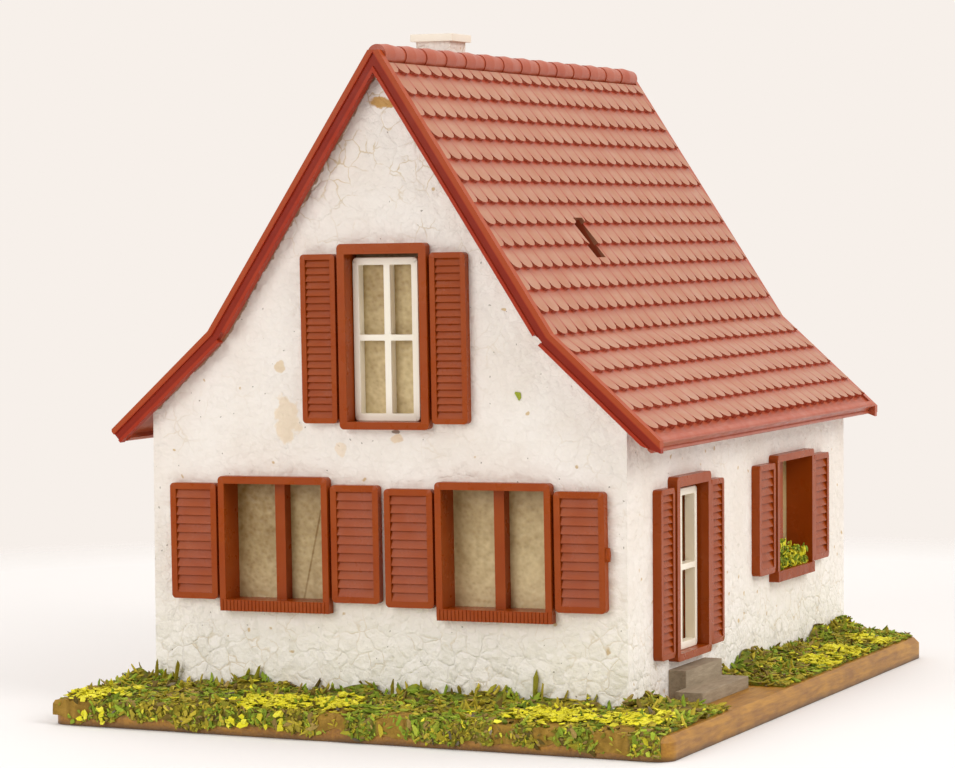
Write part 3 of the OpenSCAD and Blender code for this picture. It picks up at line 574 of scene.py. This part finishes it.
@dataclass(frozen=True)
class CurtainFilm(Finish):
    """Embossed cellulose film: fine soft dimples, cloudy where it has yellowed, with a satin shine."""

    low_z: float
    high_z: float
    side_x: float = 60.0
    # Painted shade that darkens the film towards one side.
    side_shade: float = 0.0
    fold: Fold | None = None
    light: str = "#DCC998"
    deep: str = "#846428"
    dimple: float = 1.6
    cloud: float = 17.0
    grain: float = 2.6

    def paint(self, net: Net) -> None:
        """Slow clouds, with painted shade that deepens towards the head, to one side and along a crease, and
        fine dimples on them.

        Args:
            net: Nodes of the material.
        """
        cloud = net.add("TexNoise", net.place, per_mm(self.cloud), 3.0)
        smooth = {"Smoothness": 0.8}
        dimples = net.add("TexVoronoi", net.place, per_mm(self.dimple), named=smooth, feature="SMOOTH_F1")
        grain = net.add("TexNoise", net.place, per_mm(self.grain), 4.0)
        side = self.side_x * MM
        mixed = net.add("Math MULTIPLY", cloud, 0.45)
        mixed = net.add("Math MULTIPLY_ADD", grain, 0.42, mixed)
        mixed = net.add("Math MULTIPLY_ADD", dimples, 0.16, mixed)
        # Painted shade: the film darkens towards its head and towards one side.
        head = net.add("MapRange", net.z, self.low_z * MM, self.high_z * MM, 0.26, -0.08)
        side_shaded = net.add("MapRange", net.x, -side, side, -self.side_shade, self.side_shade)
        for change in (head, side_shaded):
            mixed = net.add("Math ADD", mixed, change)
        # Painted shade along the crease.
        if self.fold:
            mixed = net.add("Math SUBTRACT", mixed, self.fold.line(net))
        amount = net.add("MapRange", mixed, 0.23, 0.92)
        colour = net.add("Mix", amount, self.deep, self.light, data_type="RGBA")
        bump = net.add("Bump", named={"Distance": 0.25 * MM, "Height": dimples})
        net.wire(net.skin, {"Base Color": colour, "Normal": bump, "Roughness": 0.45})


@dataclass(frozen=True)
class Board(Finish):
    """Pressed fibre board or softwood: short fibres along one axis, pores and darker smudges."""

    pale: str
    dark: str
    fibre: float = 1.2
    stretch: float = 9.0
    blotch: float = 11.0

    def paint(self, net: Net) -> None:
        """Drawn-out fibres over blotches, with a bump that follows the fibres.

        Args:
            net: Nodes of the material.
        """
        drawn = net.add("Mapping", net.place, named={"Scale": (1.0, 1 / self.stretch, 1.0)})
        fibres = net.add("TexNoise", drawn, per_mm(self.fibre), 5.0)
        blotch = net.add("TexNoise", net.place, per_mm(self.blotch), 4.0)
        amount = net.add("Math MULTIPLY_ADD", blotch, 0.9, fibres)
        amount = net.add("MapRange", amount, 0.72, 1.22)
        colour = net.add("Mix", amount, self.dark, self.pale, data_type="RGBA")
        bump = net.add("Bump", named={"Distance": 0.25 * MM, "Height": fibres})
        net.wire(net.skin, {"Base Color": colour, "Normal": bump, "Roughness": 0.7})


@dataclass(frozen=True)
class SoakedBoard(Board):
    """The same fibre board, its cut edge shiny with glue and dark along the foot."""

    foot: str = "#4E3214"
    foot_h: float = 2.2
    ragged: float = 9.0

    def paint(self, net: Net) -> None:
        """Fibre board, darker towards its lower edge.

        Args:
            net: Nodes of the material.
        """
        super().paint(net)
        ragged = net.add("TexNoise", net.place, per_mm(self.ragged), 4.0)
        level = net.add("Math MULTIPLY_ADD", ragged, -2 * MM, net.z)
        mask = net.add("MapRange", level, -MM, (self.foot_h - 1) * MM, 0.9, 0.0)
        own = net.skin.inputs["Base Color"].links[0].from_socket
        colour = net.add("Mix", mask, own, self.foot, data_type="RGBA")
        net.wire(net.skin, {"Base Color": colour, "Roughness": 0.45})


@dataclass(frozen=True)
class Sawdust(Finish):
    """Dyed sawdust scatter: every chip has its own dye, read from the mesh, with a dry fibrous face."""

    grain: str = "#3A3412"
    fibre: float = 0.9

    def paint(self, net: Net) -> None:
        """Chip colour, darkened along its fibres.

        Args:
            net: Nodes of the material.
        """
        dye = net.add("Attribute", attribute_name=ScatterMesh.DYE)
        fibres = net.add("TexNoise", net.place, per_mm(self.fibre), 3.0)
        amount = net.add("MapRange", fibres, 0.35, 0.7, 0.2, 0.0)
        shader = {
            "Base Color": net.add("Mix", amount, dye, self.grain, data_type="RGBA"),
            "Normal": net.add("Bump", named={"Distance": 0.3 * MM, "Height": fibres}),
            "Roughness": 0.75,
            "Specular IOR Level": 0.2,
        }
        net.wire(net.skin, shader)


class Dye(Enum):
    """Dyes of the sawdust, each with its shades, and the glue under it."""

    MOSS = ("#8F8420", "#A29428", "#B0A030", "#BAAA3C", "#98942A")
    LEAF = ("#829A28", "#96AC32", "#A4B03A", "#788E26")
    YELLOW = ("#EDE62E", "#E0D832", "#F2EC48", "#CFC832")
    EARTH = ("#7A672F", "#917A44", "#64531F", "#9D8649")
    STONE = ("#6E6450", "#857B66")
    GLUE = ("#9C7A2E", "#8C6C28", "#A88438")


class ScatterMesh:
    """Collects sawdust chips, all copies of a few modelled shards, into one mesh."""

    DYE = "chip_dye"
    SHARDS = 6
    FELT_T = 1.2
    _shards: list[tuple[np.ndarray, np.ndarray]] = []

    def __init__(self, name: str, seed: int) -> None:
        """Start an empty scatter.

        Args:
            name: Name of the mesh.
            seed: Start of its own random row.
        """
        self.name = name
        self.dice = random.Random(seed)
        self.bits: list[tuple[np.ndarray, np.ndarray, np.ndarray]] = []
        self.count = 0
        if not ScatterMesh._shards:
            ScatterMesh._shards = [self._shard(i) for i in range(self.SHARDS)]

    @staticmethod
    def _take(piece: Piece) -> tuple[np.ndarray, np.ndarray]:
        """Read a scratch object's mesh and remove it.

        Args:
            piece: The scratch object.

        Returns:
            Its points and its faces.
        """
        mesh = piece.data
        points = np.array([v.co[:] for v in mesh.vertices])
        faces = np.array([p.vertices[:] for p in mesh.polygons])
        bpy.data.objects.remove(piece)
        bpy.data.meshes.remove(mesh)
        return points, faces

    @staticmethod
    def _shard(seed: int) -> tuple[np.ndarray, np.ndarray]:
        """Model one chip: a small ball pulled flat and angular, then curled.

        Args:
            seed: Which of the chips to model.

        Returns:
            Its points, about one unit long in X, and its faces.
        """
        dice = random.Random(100 + seed)
        bpy.ops.object.select_all(action="DESELECT")
        bpy.ops.mesh.primitive_ico_sphere_add(subdivisions=1, radius=0.5)
        with editing():
            bpy.ops.transform.vertex_random(offset=0.14, uniform=1.0, seed=seed + 1)
            bpy.ops.transform.resize(value=(1.0, dice.uniform(0.32, 0.58), dice.uniform(0.16, 0.3)))
        points, faces = ScatterMesh._take(bpy.context.object)
        points[:, 2] += 0.35 * points[:, 0] ** 2
        return points, faces

    def chip(self, at: Vector, length: float, turn: Matrix, shade: Colour, slim: float = 1.0) -> None:
        """Lay one chip.

        Args:
            at: Middle of the chip in millimetres.
            length: Its length in millimetres.
            turn: Its attitude.
            shade: Its linear colour.
            slim: Factor on its width.
        """
        points, faces = self.dice.choice(ScatterMesh._shards)
        placed = (points * (length, length * slim, length)) @ np.array(turn).T + np.array(at)
        self._keep(placed, faces, np.tile(shade, (len(placed), 1)))

    def mat(
        self,
        across: int,
        along: int,
        skin: Callable[[float, float], Vector],
        dye: Callable[[float, float], Colour],
    ) -> None:
        """Lay the matted ground under the chips as a closed, lumpy sheet.

        Args:
            across: Cells of the sheet along the wall.
            along: Cells of the sheet away from the wall.
            skin: Gives the sheet's upper face at two shares from 0 to 1.
            dye: Gives the linear colour at a place in millimetres.
        """
        bpy.ops.object.select_all(action="DESELECT")
        bpy.ops.mesh.primitive_grid_add(x_subdivisions=across, y_subdivisions=along, size=1)
        sheet = bpy.context.object
        for v in sheet.data.vertices:
            v.co = skin(v.co.x + 0.5, v.co.y + 0.5)
        felt = sheet.modifiers.new("felt", "SOLIDIFY")
        felt.thickness = self.FELT_T
        felt.offset = -1
        bpy.ops.object.modifier_apply(modifier="felt")
        with editing():
            bpy.ops.mesh.quads_convert_to_tris()
            bpy.ops.mesh.normals_make_consistent(inside=False)
        points, faces = self._take(sheet)
        self._keep(points, faces, np.array([dye(p[0], p[1]) for p in points]))

    def _keep(self, points: np.ndarray, faces: np.ndarray, shades: np.ndarray) -> None:
        """Add points in millimetres, their triangles and their linear colours."""
        self.bits.append((points, faces + self.count, shades))
        self.count += len(points)

    def finish(self, lo: Vector, hi: Vector) -> Piece:
        """Make the mesh, pressed into a box.

        Args:
            lo: Lowest corner that a chip may reach, in millimetres.
            hi: Highest corner that a chip may reach.

        Returns:
            The scatter as one object.
        """
        points, faces, shades = (np.concatenate(rows) for rows in zip(*self.bits))
        points = np.clip(points, np.array(lo), np.array(hi)) * MM
        mesh = bpy.data.meshes.new(self.name)
        mesh.from_pydata(points.tolist(), [], faces.tolist())
        dye = mesh.attributes.new(self.DYE, "FLOAT_COLOR", "POINT")
        dye.data.foreach_set("color", shades.astype(np.float32).ravel())
        piece = bpy.data.objects.new(self.name, mesh)
        bpy.context.scene.collection.objects.link(piece)
        Sawdust("dyed_sawdust").dress(piece)
        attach(piece, "house")
        return piece


class Outward(Enum):
    """Way from the house wall to the outer edge of a turf bed."""

    FRONT = (0.0, -1.0)
    LEFT = (-1.0, 0.0)
    RIGHT = (1.0, 0.0)


@dataclass
class TurfBed:
    """One bed of scatter turf in place of its plain slab, in millimetres."""

    node: str
    outward: Outward
    seed: int
    over_edge: float = 0.0
    wall_rise: float = 1.6
    chips_per_cm2: float = 60.0
    upright_per_cm2: float = 3.0
    flakes_per_mm2: float = 0.9
    chip_min: float = 1.8
    chip_max: float = 5.4
    mat_cell: float = 1.6
    mat_t: float = 1.6
    shadow: float = 0.62
    top: float = 8.0
    slack: float = 3.5
    wall_gap: float = 0.5
    bald_from: float = 0.74
    bald_share: float = 0.85
    bald_run: float = 17.0
    lump: float = 9.0
    swell: float = 6.0
    grit: float = 2.4
    rim_w: float = 9.0
    bank_run: float = 6.0
    patch: float = 14.0
    clump: float = 4.0
    stray_l: float = 3.4
    yellow: tuple[Triple, ...] = ()
    blades: tuple[tuple[float, float, float, float], ...] = ()
    strays: tuple[Triple, ...] = ()

    def build(self) -> Piece:
        """Lay the mat, the chips and the tall blades where the slab lies.

        Returns:
            The scatter.
        """
        self._measure()
        self.scatter = ScatterMesh(f"{self.node}_scatter", self.seed)
        self.dice = self.scatter.dice
        cells = round(self.length / self.mat_cell), round(self.width / self.mat_cell)
        self.scatter.mat(*cells, self._skin, self._ground)
        self._strew()
        for x, y, top_x, top_z in self.blades:
            foot, tip = Vector((x, y, self.floor)), Vector((top_x, y, top_z))
            turn = (tip - foot).to_track_quat("X", "Y").to_matrix()
            shade = linear(self.dice.choice(Dye.MOSS.value))
            self.scatter.chip((foot + tip) / 2, (tip - foot).length, turn, shade, 0.3)
        for stray in self.strays:
            upright = Euler((math.pi / 2, 0.9, 0)).to_matrix()
            self.scatter.chip(Vector(stray), self.stray_l, upright, linear(Dye.LEAF.value[2]), 1.3)
        piece = self.scatter.finish(*self._room())
        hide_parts(self.node)
        return piece

    def _measure(self) -> None:
        """Read the slab's box: its floor, its length along the wall and its width away from it."""
        self.lo, self.hi = (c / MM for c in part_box(self.node))
        board_lo, _ = (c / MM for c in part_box("base_board"))
        if self.outward is Outward.FRONT:
            self.lo.y = board_lo.y + 0.4
            self.lo.x = board_lo.x + 1.0
        self.floor = self.lo.z
        size = self.hi - self.lo
        front = self.outward is Outward.FRONT
        self.length, self.width = (size.x, size.y) if front else (size.y, size.x)

    def _room(self) -> tuple[Vector, Vector]:
        """Room of the scatter.

        Returns:
            Lowest and highest corners that a chip may reach.
        """
        slack = Vector((self.slack, self.slack, 0))
        low, high = self.lo - slack, self.hi + slack
        low.z = self.floor - self.over_edge
        tips = [b[3] for b in self.blades] + [s[2] + 2 for s in self.strays]
        high.z = max([self.floor + self.top, *tips])
        if self.outward is Outward.FRONT:
            high.y = self.hi.y + self.wall_gap
        elif self.outward is Outward.LEFT:
            high.x = self.hi.x + self.wall_gap
        else:
            low.x = self.lo.x - self.wall_gap
        return low, high

    def _strew(self) -> None:
        """Lay the flat chips, then those that stand up, then the yellow flakes."""
        dice = self.dice
        covered = self.length * (self.width + self.over_edge * 0.5) / MM2_PER_CM2
        for _ in range(int(covered * self.chips_per_cm2)):
            along, out = dice.random(), dice.random() ** 0.92
            longest = self.chip_max
            if self.over_edge and dice.random() < 0.3:
                out, longest = dice.uniform(0.84, 1.0), 0.45 * self.chip_max
            length = self.chip_min + (longest - self.chip_min) * dice.random() ** 2.2
            lean = Euler((dice.gauss(0, 0.3), dice.gauss(0, 0.2), dice.uniform(0, math.tau)))
            self._lay(along, out, dice.uniform(-0.3, 0.7), length, lean, dice.uniform(0.6, 1.2))
        for _ in range(int(self.length * self.width / MM2_PER_CM2 * self.upright_per_cm2)):
            lean = Euler((dice.gauss(0, 0.4), dice.uniform(-1.2, -0.4), dice.uniform(0, math.tau)))
            along, out = dice.random(), dice.random() ** 2 * 0.8
            self._lay(along, out, 0.8, dice.uniform(3.0, 6.0), lean, 0.7)
        for _ in range(int(self.length * self.width * self.flakes_per_mm2)):
            self._sprinkle(dice.random(), dice.random())

    def _spot(self, along: float, out: float) -> tuple[Vector, Matrix]:
        """Point of the mat's face and the frame that a chip lies in there.

        Args:
            along: Share of the bed's length.
            out: Share of the way from the wall to the outer edge and over it.

        Returns:
            The point in millimetres, and a frame whose Z points out of the mat.
        """
        way = Vector((*self.outward.value, 0))
        side = way.cross(Vector((0, 0, 1)))
        middle = (self.lo + self.hi) / 2
        start = middle - way * self.width / 2 + side * (along - 0.5) * self.length
        lumps = noise.noise(Vector((start.x, start.y, self.seed)) / self.lump)
        hang = self.over_edge * (0.7 + 0.4 * lumps)
        gone = out * (self.width + hang)
        flat = min(gone, self.width)
        point = start + way * flat
        fall = gone - flat
        ripple = noise.noise(Vector((point.x, point.y, 5.0 + fall)) / self.swell)
        ripple += 0.5 * noise.noise(Vector((point.x, point.y, 9.0 + fall)) / self.grit)
        edge = self.width + 2 - flat if not self.over_edge else self.rim_w
        ends = along * self.length + 2, (1 - along) * self.length + 2
        rim = min(self.rim_w, edge, *ends) / self.rim_w
        bank = self.wall_rise * (1 + 1.6 * lumps) * math.exp(-flat / self.bank_run)
        thick = max(0.2, self.mat_t * (0.3 + 0.7 * rim) + bank + 0.8 * ripple)
        if fall > 0:
            point = point + way * (0.9 + 0.4 * ripple)
            point.z = self.floor + thick * max(0.0, 1 - fall / 2) - fall
            return point, Matrix((side, Vector((0, 0, -1)), way)).transposed()
        if self.over_edge:
            thick *= 0.35 + 0.65 * min(1.0, (self.width - flat) / 16)
        point.z = self.floor + thick
        return point, Matrix((side, way, Vector((0, 0, 1)))).transposed()

    def _skin(self, along: float, out: float) -> Vector:
        """Point of the mat's face at two shares."""
        return self._spot(along, out)[0]

    def _lay(self, along: float, out: float, lift: float, length: float, lean: Euler, slim: float) -> None:
        """Lay one chip on the mat, unless it falls on a bald place.

        Args:
            along: Share of the bed's length.
            out: Share of the way to the outer edge.
            lift: Height of its middle above the mat.
            length: Length of the chip.
            lean: Its attitude on the mat.
            slim: Factor on its width.
        """
        spot, stance = self._spot(along, out)
        if self._bald(spot.x, spot.y) and self.dice.random() < self.bald_share:
            return
        spot += stance.col[2] * lift
        shade = self._shade(spot.x, spot.y)
        self.scatter.chip(spot, length, stance @ lean.to_matrix(), shade, slim)

    def _sprinkle(self, along: float, out: float) -> None:
        """Lay a small yellow flake, if its place falls in a yellow patch.

        Args:
            along: Share of the bed's length.
            out: Share of the way to the outer edge.
        """
        dice = self.dice
        spot, stance = self._spot(along, out)
        far = min((math.hypot(spot.x - x, spot.y - y) / r for x, y, r in self.yellow), default=2.0)
        clump = noise.noise(Vector((spot.x, spot.y, 1.0)) / self.clump)
        if far + 0.9 * clump > dice.uniform(0.4, 1.0):
            return
        lean = Euler((dice.gauss(0, 0.25), dice.gauss(0, 0.2), dice.uniform(0, math.tau)))
        spot += stance.col[2] * dice.uniform(0.7, 1.4)
        shade = linear(dice.choice(Dye.YELLOW.value))
        self.scatter.chip(spot, dice.uniform(1.5, 3.6), stance @ lean.to_matrix(), shade, 1.6)

    def _bald(self, x: float, y: float) -> bool:
        """Whether few chips stuck at a place, near the outer edge of a bed that hangs over."""
        near_edge = self.over_edge and (self.hi.y - y) / self.width > self.bald_from
        return bool(near_edge) and noise.noise(Vector((x, 0.0, 21.0)) / self.bald_run) > 0.12

    def _ground(self, x: float, y: float) -> Colour:
        """Dye for the mat: glue where the chips are few, and the chips' own in shadow elsewhere.

        Args:
            x: Place across the house.
            y: Place along it.

        Returns:
            The linear colour.
        """
        if self._bald(x, y):
            return linear(self.dice.choice(Dye.GLUE.value))
        chip = self._shade(x, y)
        return (chip[0] * self.shadow, chip[1] * self.shadow, chip[2] * self.shadow, 1.0)

    def _shade(self, x: float, y: float) -> Colour:
        """Dye for a chip: moss with some leaf, earth, stone and stray yellow.

        Args:
            x: Place across the house.
            y: Place along it.

        Returns:
            The linear colour.
        """
        shades = Dye.MOSS
        patch = noise.noise(Vector((x, y, 3.0)) / self.patch)
        odds = self.dice.random()
        if odds < 0.03:
            shades = Dye.YELLOW
        elif odds < 0.2:
            shades = Dye.EARTH
        elif odds < 0.21:
            shades = Dye.STONE
        elif odds + patch * 0.7 > 0.62:
            shades = Dye.LEAF
        colour = linear(self.dice.choice(shades.value))
        lift = self.dice.uniform(0.66, 1.4)
        return (colour[0] * lift, colour[1] * lift, colour[2] * lift, 1.0)


@dataclass
class SillPlants:
    """Tuft of bright scatter on the sill of the right wall's window."""

    node: str = "sill_plants"
    seed: int = 77
    chips: int = 260
    chip_min: float = 2.0
    chip_max: float = 4.4

    def build(self) -> Piece:
        """Pile the chips inside the plain solid's room.

        Returns:
            The tuft.
        """
        lo, hi = (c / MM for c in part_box(self.node))
        scatter = ScatterMesh("sill_plant_tuft", self.seed)
        dice = scatter.dice
        for _ in range(self.chips):
            share = dice.random()
            y = lo.y + share * (hi.y - lo.y)
            tall = (hi.z - lo.z) * (0.95 - 0.55 * share)
            z = lo.z + tall * dice.random() ** 1.3
            x = dice.uniform(lo.x, hi.x)
            turn = Euler((dice.gauss(0, 0.9), dice.gauss(0, 0.9), dice.uniform(0, math.tau))).to_matrix()
            shade = linear(dice.choice((*Dye.LEAF.value, *Dye.YELLOW.value)))
            scatter.chip(Vector((x, y, z)), dice.uniform(self.chip_min, self.chip_max), turn, shade, 0.8)
        piece = scatter.finish(lo, hi)
        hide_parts(self.node)
        return piece


@dataclass
class SprueStub:
    """Torn stub of sprue on the outer edge of the front right window, in millimetres."""

    finish: Finish
    size: Triple = (1.5, 1.6, 4.2)
    jut: float = 0.2
    y: float = -98.5
    z: float = 61.2
    torn: float = 0.2

    def build(self) -> Piece:
        """Shape a small block into a rough lump at its place.

        Returns:
            The stub.
        """
        _, hi = (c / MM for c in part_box("front_right_window"))
        bpy.ops.object.select_all(action="DESELECT")
        bpy.ops.mesh.primitive_cube_add(size=MM, location=(0, 0, 0))
        stub = bpy.context.object
        stub.name = "sprue_stub"
        with editing():
            bpy.ops.transform.resize(value=self.size)
            bpy.ops.mesh.subdivide(number_cuts=3, smoothness=0.4)
            bpy.ops.transform.vertex_random(offset=self.torn * MM, uniform=1.0, seed=5)
            bpy.ops.transform.translate(value=((hi.x + self.jut) * MM, self.y * MM, self.z * MM))
        self.finish.dress(stub)
        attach(stub, "house")
        return stub


@dataclass
class House:
    """The carried-over CAD nodes and their finishes."""

    nodes: dict[str, Piece]
    edge: float = 0.3
    sharp: float = 50.0
    first_tile: float = -2.6
    rounded: tuple[str, ...] = ("shutters", "ivory", "steps")
    # Painted shade across the lower front film.
    film_side_shade: float = 0.12
    film_fold: Fold = Fold(-34.5, 72.3, -40.7, 44.1)
    brown: Moulding = Moulding("polystyrene_shutter_brown", "#963E06", "#A04B12", roughness=0.3, sheen=0.15)
    marks: tuple[Stain, ...] = (
        Stain(-6.3, 213.2, 5.5, 2.2, "#C79A4E", 0.95),
        Stain(-44.0, 104.0, 5.5, 10.5, "#EBD8BC", 0.8),
        Stain(-46.5, 122.4, 2.2, 2.6, "#E2CBA6", 0.8),
        Stain(-23.0, 94.6, 2.4, 3.0, "#EDDAC0", 0.7),
        Stain(-1.6, 98.4, 3.0, 1.8, "#E6CFAE", 0.8),
        Stain(-2.4, 100.7, 2.0, 0.9, "#7A5A3C", 0.8),
    )

    def dress(self) -> None:
        """Give every node its finish, and round the edges of the mouldings."""
        wall_lo, wall_hi = (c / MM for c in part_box("front_gable_wall"))
        roof = RoofLine((wall_lo.x + wall_hi.x) / 2)
        finishes = self._finishes(roof)
        slots = {s["node"]: s["material_slot"] for s in frame["record"]["subparts"]}
        for name, piece in self.nodes.items():
            finish = finishes.get(name) or finishes.get(slots[name])
            if finish is None:
                continue
            finish.dress(piece)
            if slots[name] in self.rounded:
                self._round_edges(piece)
            LOG.info("dressed %s in %s", name, finish.name)

    def _finishes(self, roof: RoofLine) -> dict[str, Finish]:
        """Choose a finish for each material slot but the turf's, and for the nodes that differ.

        Args:
            roof: Line of the roof.

        Returns:
            The finishes by name of slot or node.
        """
        tile_lo, _ = (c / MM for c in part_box("roof_right_tiles"))
        first_y = tile_lo.y + self.first_tile
        verge = VergeMoulding(
            "polystyrene_grooved_verge", "#A02E12", "#AA3E1E", roughness=0.36, sheen=0.12, roof=roof
        )
        films = {name: self._film(name) for name in ("front_gable_film", "rear_gable_film", "door_film")}
        return films | {
            "board": SoakedBoard("pressed_fibre_board", "#B4801F", "#8C5C12"),
            "render": CrackedRender("cracked_emulsion_render"),
            "roof": Moulding("polystyrene_roof_red", "#A84A2C", "#B25C3C", roughness=0.36, sheen=0.35),
            "tiles": TileMoulding(
                "polystyrene_roof_tiles", "#AB6E4E", "#B8886B", roughness=0.4, roof=roof, first_y=first_y
            ),
            "shutters": self.brown,
            "ivory": Moulding("polystyrene_ivory", "#F8F2E0", "#FBF7EA", roughness=0.4),
            "film": self._film("rear_lower_film"),
            "posts": Board("planed_softwood", "#D9BD8E", "#B98F58", fibre=0.8, stretch=14),
            "steps": Board("grey_painted_softwood", "#A89880", "#8F8069", fibre=1.0, stretch=6),
            "stopper": Moulding("soft_pvc_black", "#262422", "#383533", roughness=0.55),
            "front_gable_wall": CrackedRender("cracked_emulsion_render_front", stains=self.marks, roof=roof),
            "front_left_verge_board": verge,
            "front_right_verge_board": verge,
            "front_lower_film": self._film("front_lower_film", self.film_side_shade, self.film_fold),
        }

    def _film(self, name: str, side_shade: float = 0.0, fold: Fold | None = None) -> CurtainFilm:
        """Film with painted shade that deepens over the height of the sheet called name and across it, and
        may fold.
        """
        lo, hi = (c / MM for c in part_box(name))
        return CurtainFilm(f"embossed_cellulose_{name}", lo.z, hi.z, side_shade=side_shade, fold=fold)

    def _round_edges(self, piece: Piece) -> None:
        """Round a moulding's sharp edges, as its mould does.

        Args:
            piece: The moulding.
        """
        weld = piece.modifiers.new("joined", "WELD")
        weld.merge_threshold = 1e-6
        bevel = piece.modifiers.new("edges", "BEVEL")
        bevel.width = self.edge * MM
        bevel.segments = 2
        bevel.limit_method = "ANGLE"
        bevel.angle_limit = math.radians(self.sharp)
        piece.modifiers.new("even", "WEIGHTED_NORMAL")


@dataclass(frozen=True)
class Lens:
    """Camera fitted to the photograph's straight edges, for a picture 955 pixels wide."""

    focal_px: float = 3349.2
    picture_w: float = 955.0
    sensor: float = 36.0
    place: Triple = (491.24, -1129.92, 172.55)
    azimuth: float = 24.118
    down: float = 2.784
    roll: float = -0.395

    def build(self) -> Piece:
        """Add the camera and make it the scene's.

        Returns:
            The camera.
        """
        data = bpy.data.cameras.new("photo_camera")
        data.sensor_fit = "HORIZONTAL"
        data.sensor_width = self.sensor
        data.lens = self.focal_px * self.sensor / self.picture_w
        camera = bpy.data.objects.new("photo_camera", data)
        bpy.context.scene.collection.objects.link(camera)
        az, down, roll = (math.radians(a) for a in (self.azimuth, self.down, self.roll))
        turn = Euler((math.pi / 2 - down, 0, az)).to_matrix() @ Matrix.Rotation(roll, 3, "Z")
        camera.matrix_world = Matrix.Translation(Vector(self.place) * MM) @ turn.to_4x4()
        bpy.context.scene.camera = camera
        return camera


@dataclass(frozen=True)
class Lamp:
    """A square soft lamp that faces the house, in metres and watts."""

    name: str
    place: Triple
    size: float
    watts: float
    tint: str = "#FFFCFA"
    aim: Triple = (0.0, 0.0, 0.1)

    def hang(self) -> None:
        """Add the lamp to the scene."""
        data = bpy.data.lights.new(self.name, "AREA")
        data.size = self.size
        data.energy = self.watts
        data.color = linear(self.tint)[:3]
        lamp = bpy.data.objects.new(self.name, data)
        lamp.location = self.place
        lamp.rotation_euler = (Vector(self.aim) - Vector(self.place)).to_track_quat("-Z", "Y").to_euler()
        bpy.context.scene.collection.objects.link(lamp)


@dataclass
class Studio:
    """Pale floor that fades into a pale room, dimmer in front of the house, and soft lamps."""

    room: str = "#F7F0EA"
    dim: float = 0.42
    floor_r: float = 0.62
    hole_r: float = 0.09
    floor_drop: float = 0.1
    paper: str = "#E4E4E4"
    lamps: tuple[Lamp, ...] = (
        Lamp("key_lamp", (-0.8, -1.8, 0.8), 1.3, 18.5),
        Lamp("fill_lamp", (1.7, -0.4, 1.4), 1.2, 20.0),
        Lamp("top_lamp", (-0.1, 0.3, 2.1), 1.6, 19.0),
    )

    def build(self) -> None:
        """Make the floor, the room's light and the lamps."""
        scene = bpy.context.scene
        scene.view_settings.view_transform = "Standard"
        world = bpy.data.worlds.new("pale_room")
        scene.world = world
        net = Net(world, "Background", "Generated")
        bright = net.add("MapRange", net.y, -0.5, 0.3, self.dim, 1.0)
        net.wire(net.skin, {"Color": self.room, "Strength": bright})
        self._floor()
        for lamp in self.lamps:
            lamp.hang()

    def _floor(self) -> None:
        """Disc of white paper whose rim fades out, with a hole under the board to look at the stopper."""
        bpy.ops.object.select_all(action="DESELECT")
        bpy.ops.mesh.primitive_circle_add(vertices=96, radius=self.floor_r, fill_type="NGON")
        floor = bpy.context.object
        floor.name = "paper_floor"
        floor.location.z = -self.floor_drop * MM
        with editing():
            bpy.ops.mesh.inset(thickness=self.floor_r - self.hole_r)
            bpy.ops.mesh.delete(type="FACE")
        paper = bpy.data.materials.new("white_paper")
        net = Net(paper, "Principled BSDF", "Object")
        far = net.add("VectorMath LENGTH", net.place)
        fade = net.add("MapRange", far, 0.8 * self.floor_r, self.floor_r, 1.0, 0.0)
        net.wire(net.skin, {"Base Color": self.paper, "Roughness": 0.9, "Alpha": fade})
        floor.data.materials.append(paper)


def main() -> None:
    logging.basicConfig(level=logging.INFO, format="%(message)s")
    bpy.ops.object.select_all(action="DESELECT")
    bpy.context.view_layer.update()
    Lens().build()
    Studio().build()
    house = House(frame["nodes"])
    house.dress()
    LOG.info("left %s", SprueStub(house.brown).build().name)
    beds = (
        TurfBed(
            "turf_front",
            Outward.FRONT,
            11,
            over_edge=7.8,
            wall_rise=2.6,
            yellow=((-101, -128, 12), (-34, -126, 15), (-14, -122, 12), (65, -120, 16), (95, -120, 12)),
            blades=(
                (-95.2, -98.5, -95.4, 18.8),
                (-93.6, -99.0, -92.0, 15.6),
                (-89.0, -98.5, -86.0, 19.6),
                (-57.0, -98.5, -55.0, 18.6),
                (-3.2, -99.5, -2.2, 16.2),
                (8.2, -99.5, 7.6, 16.0),
                (49.9, -98.5, 49.6, 22.9),
                (51.6, -99.0, 53.0, 17.0),
            ),
            strays=((43.6, -97.0, 113.7),),
        ),
        TurfBed("turf_left", Outward.LEFT, 12, yellow=((-104, -40, 10), (-105, 60, 14))),
        TurfBed("turf_right_front", Outward.RIGHT, 13, wall_rise=2.2),
        TurfBed(
            "turf_right_rear",
            Outward.RIGHT,
            14,
            wall_rise=3.4,
            yellow=((106, 40, 12), (106, 70, 13), (106, 105, 12)),
        ),
    )
    for bed in beds:
        LOG.info("laid %s", bed.build().name)
    LOG.info("laid %s", SillPlants().build().name)


if __name__ == "__main__":
    main()
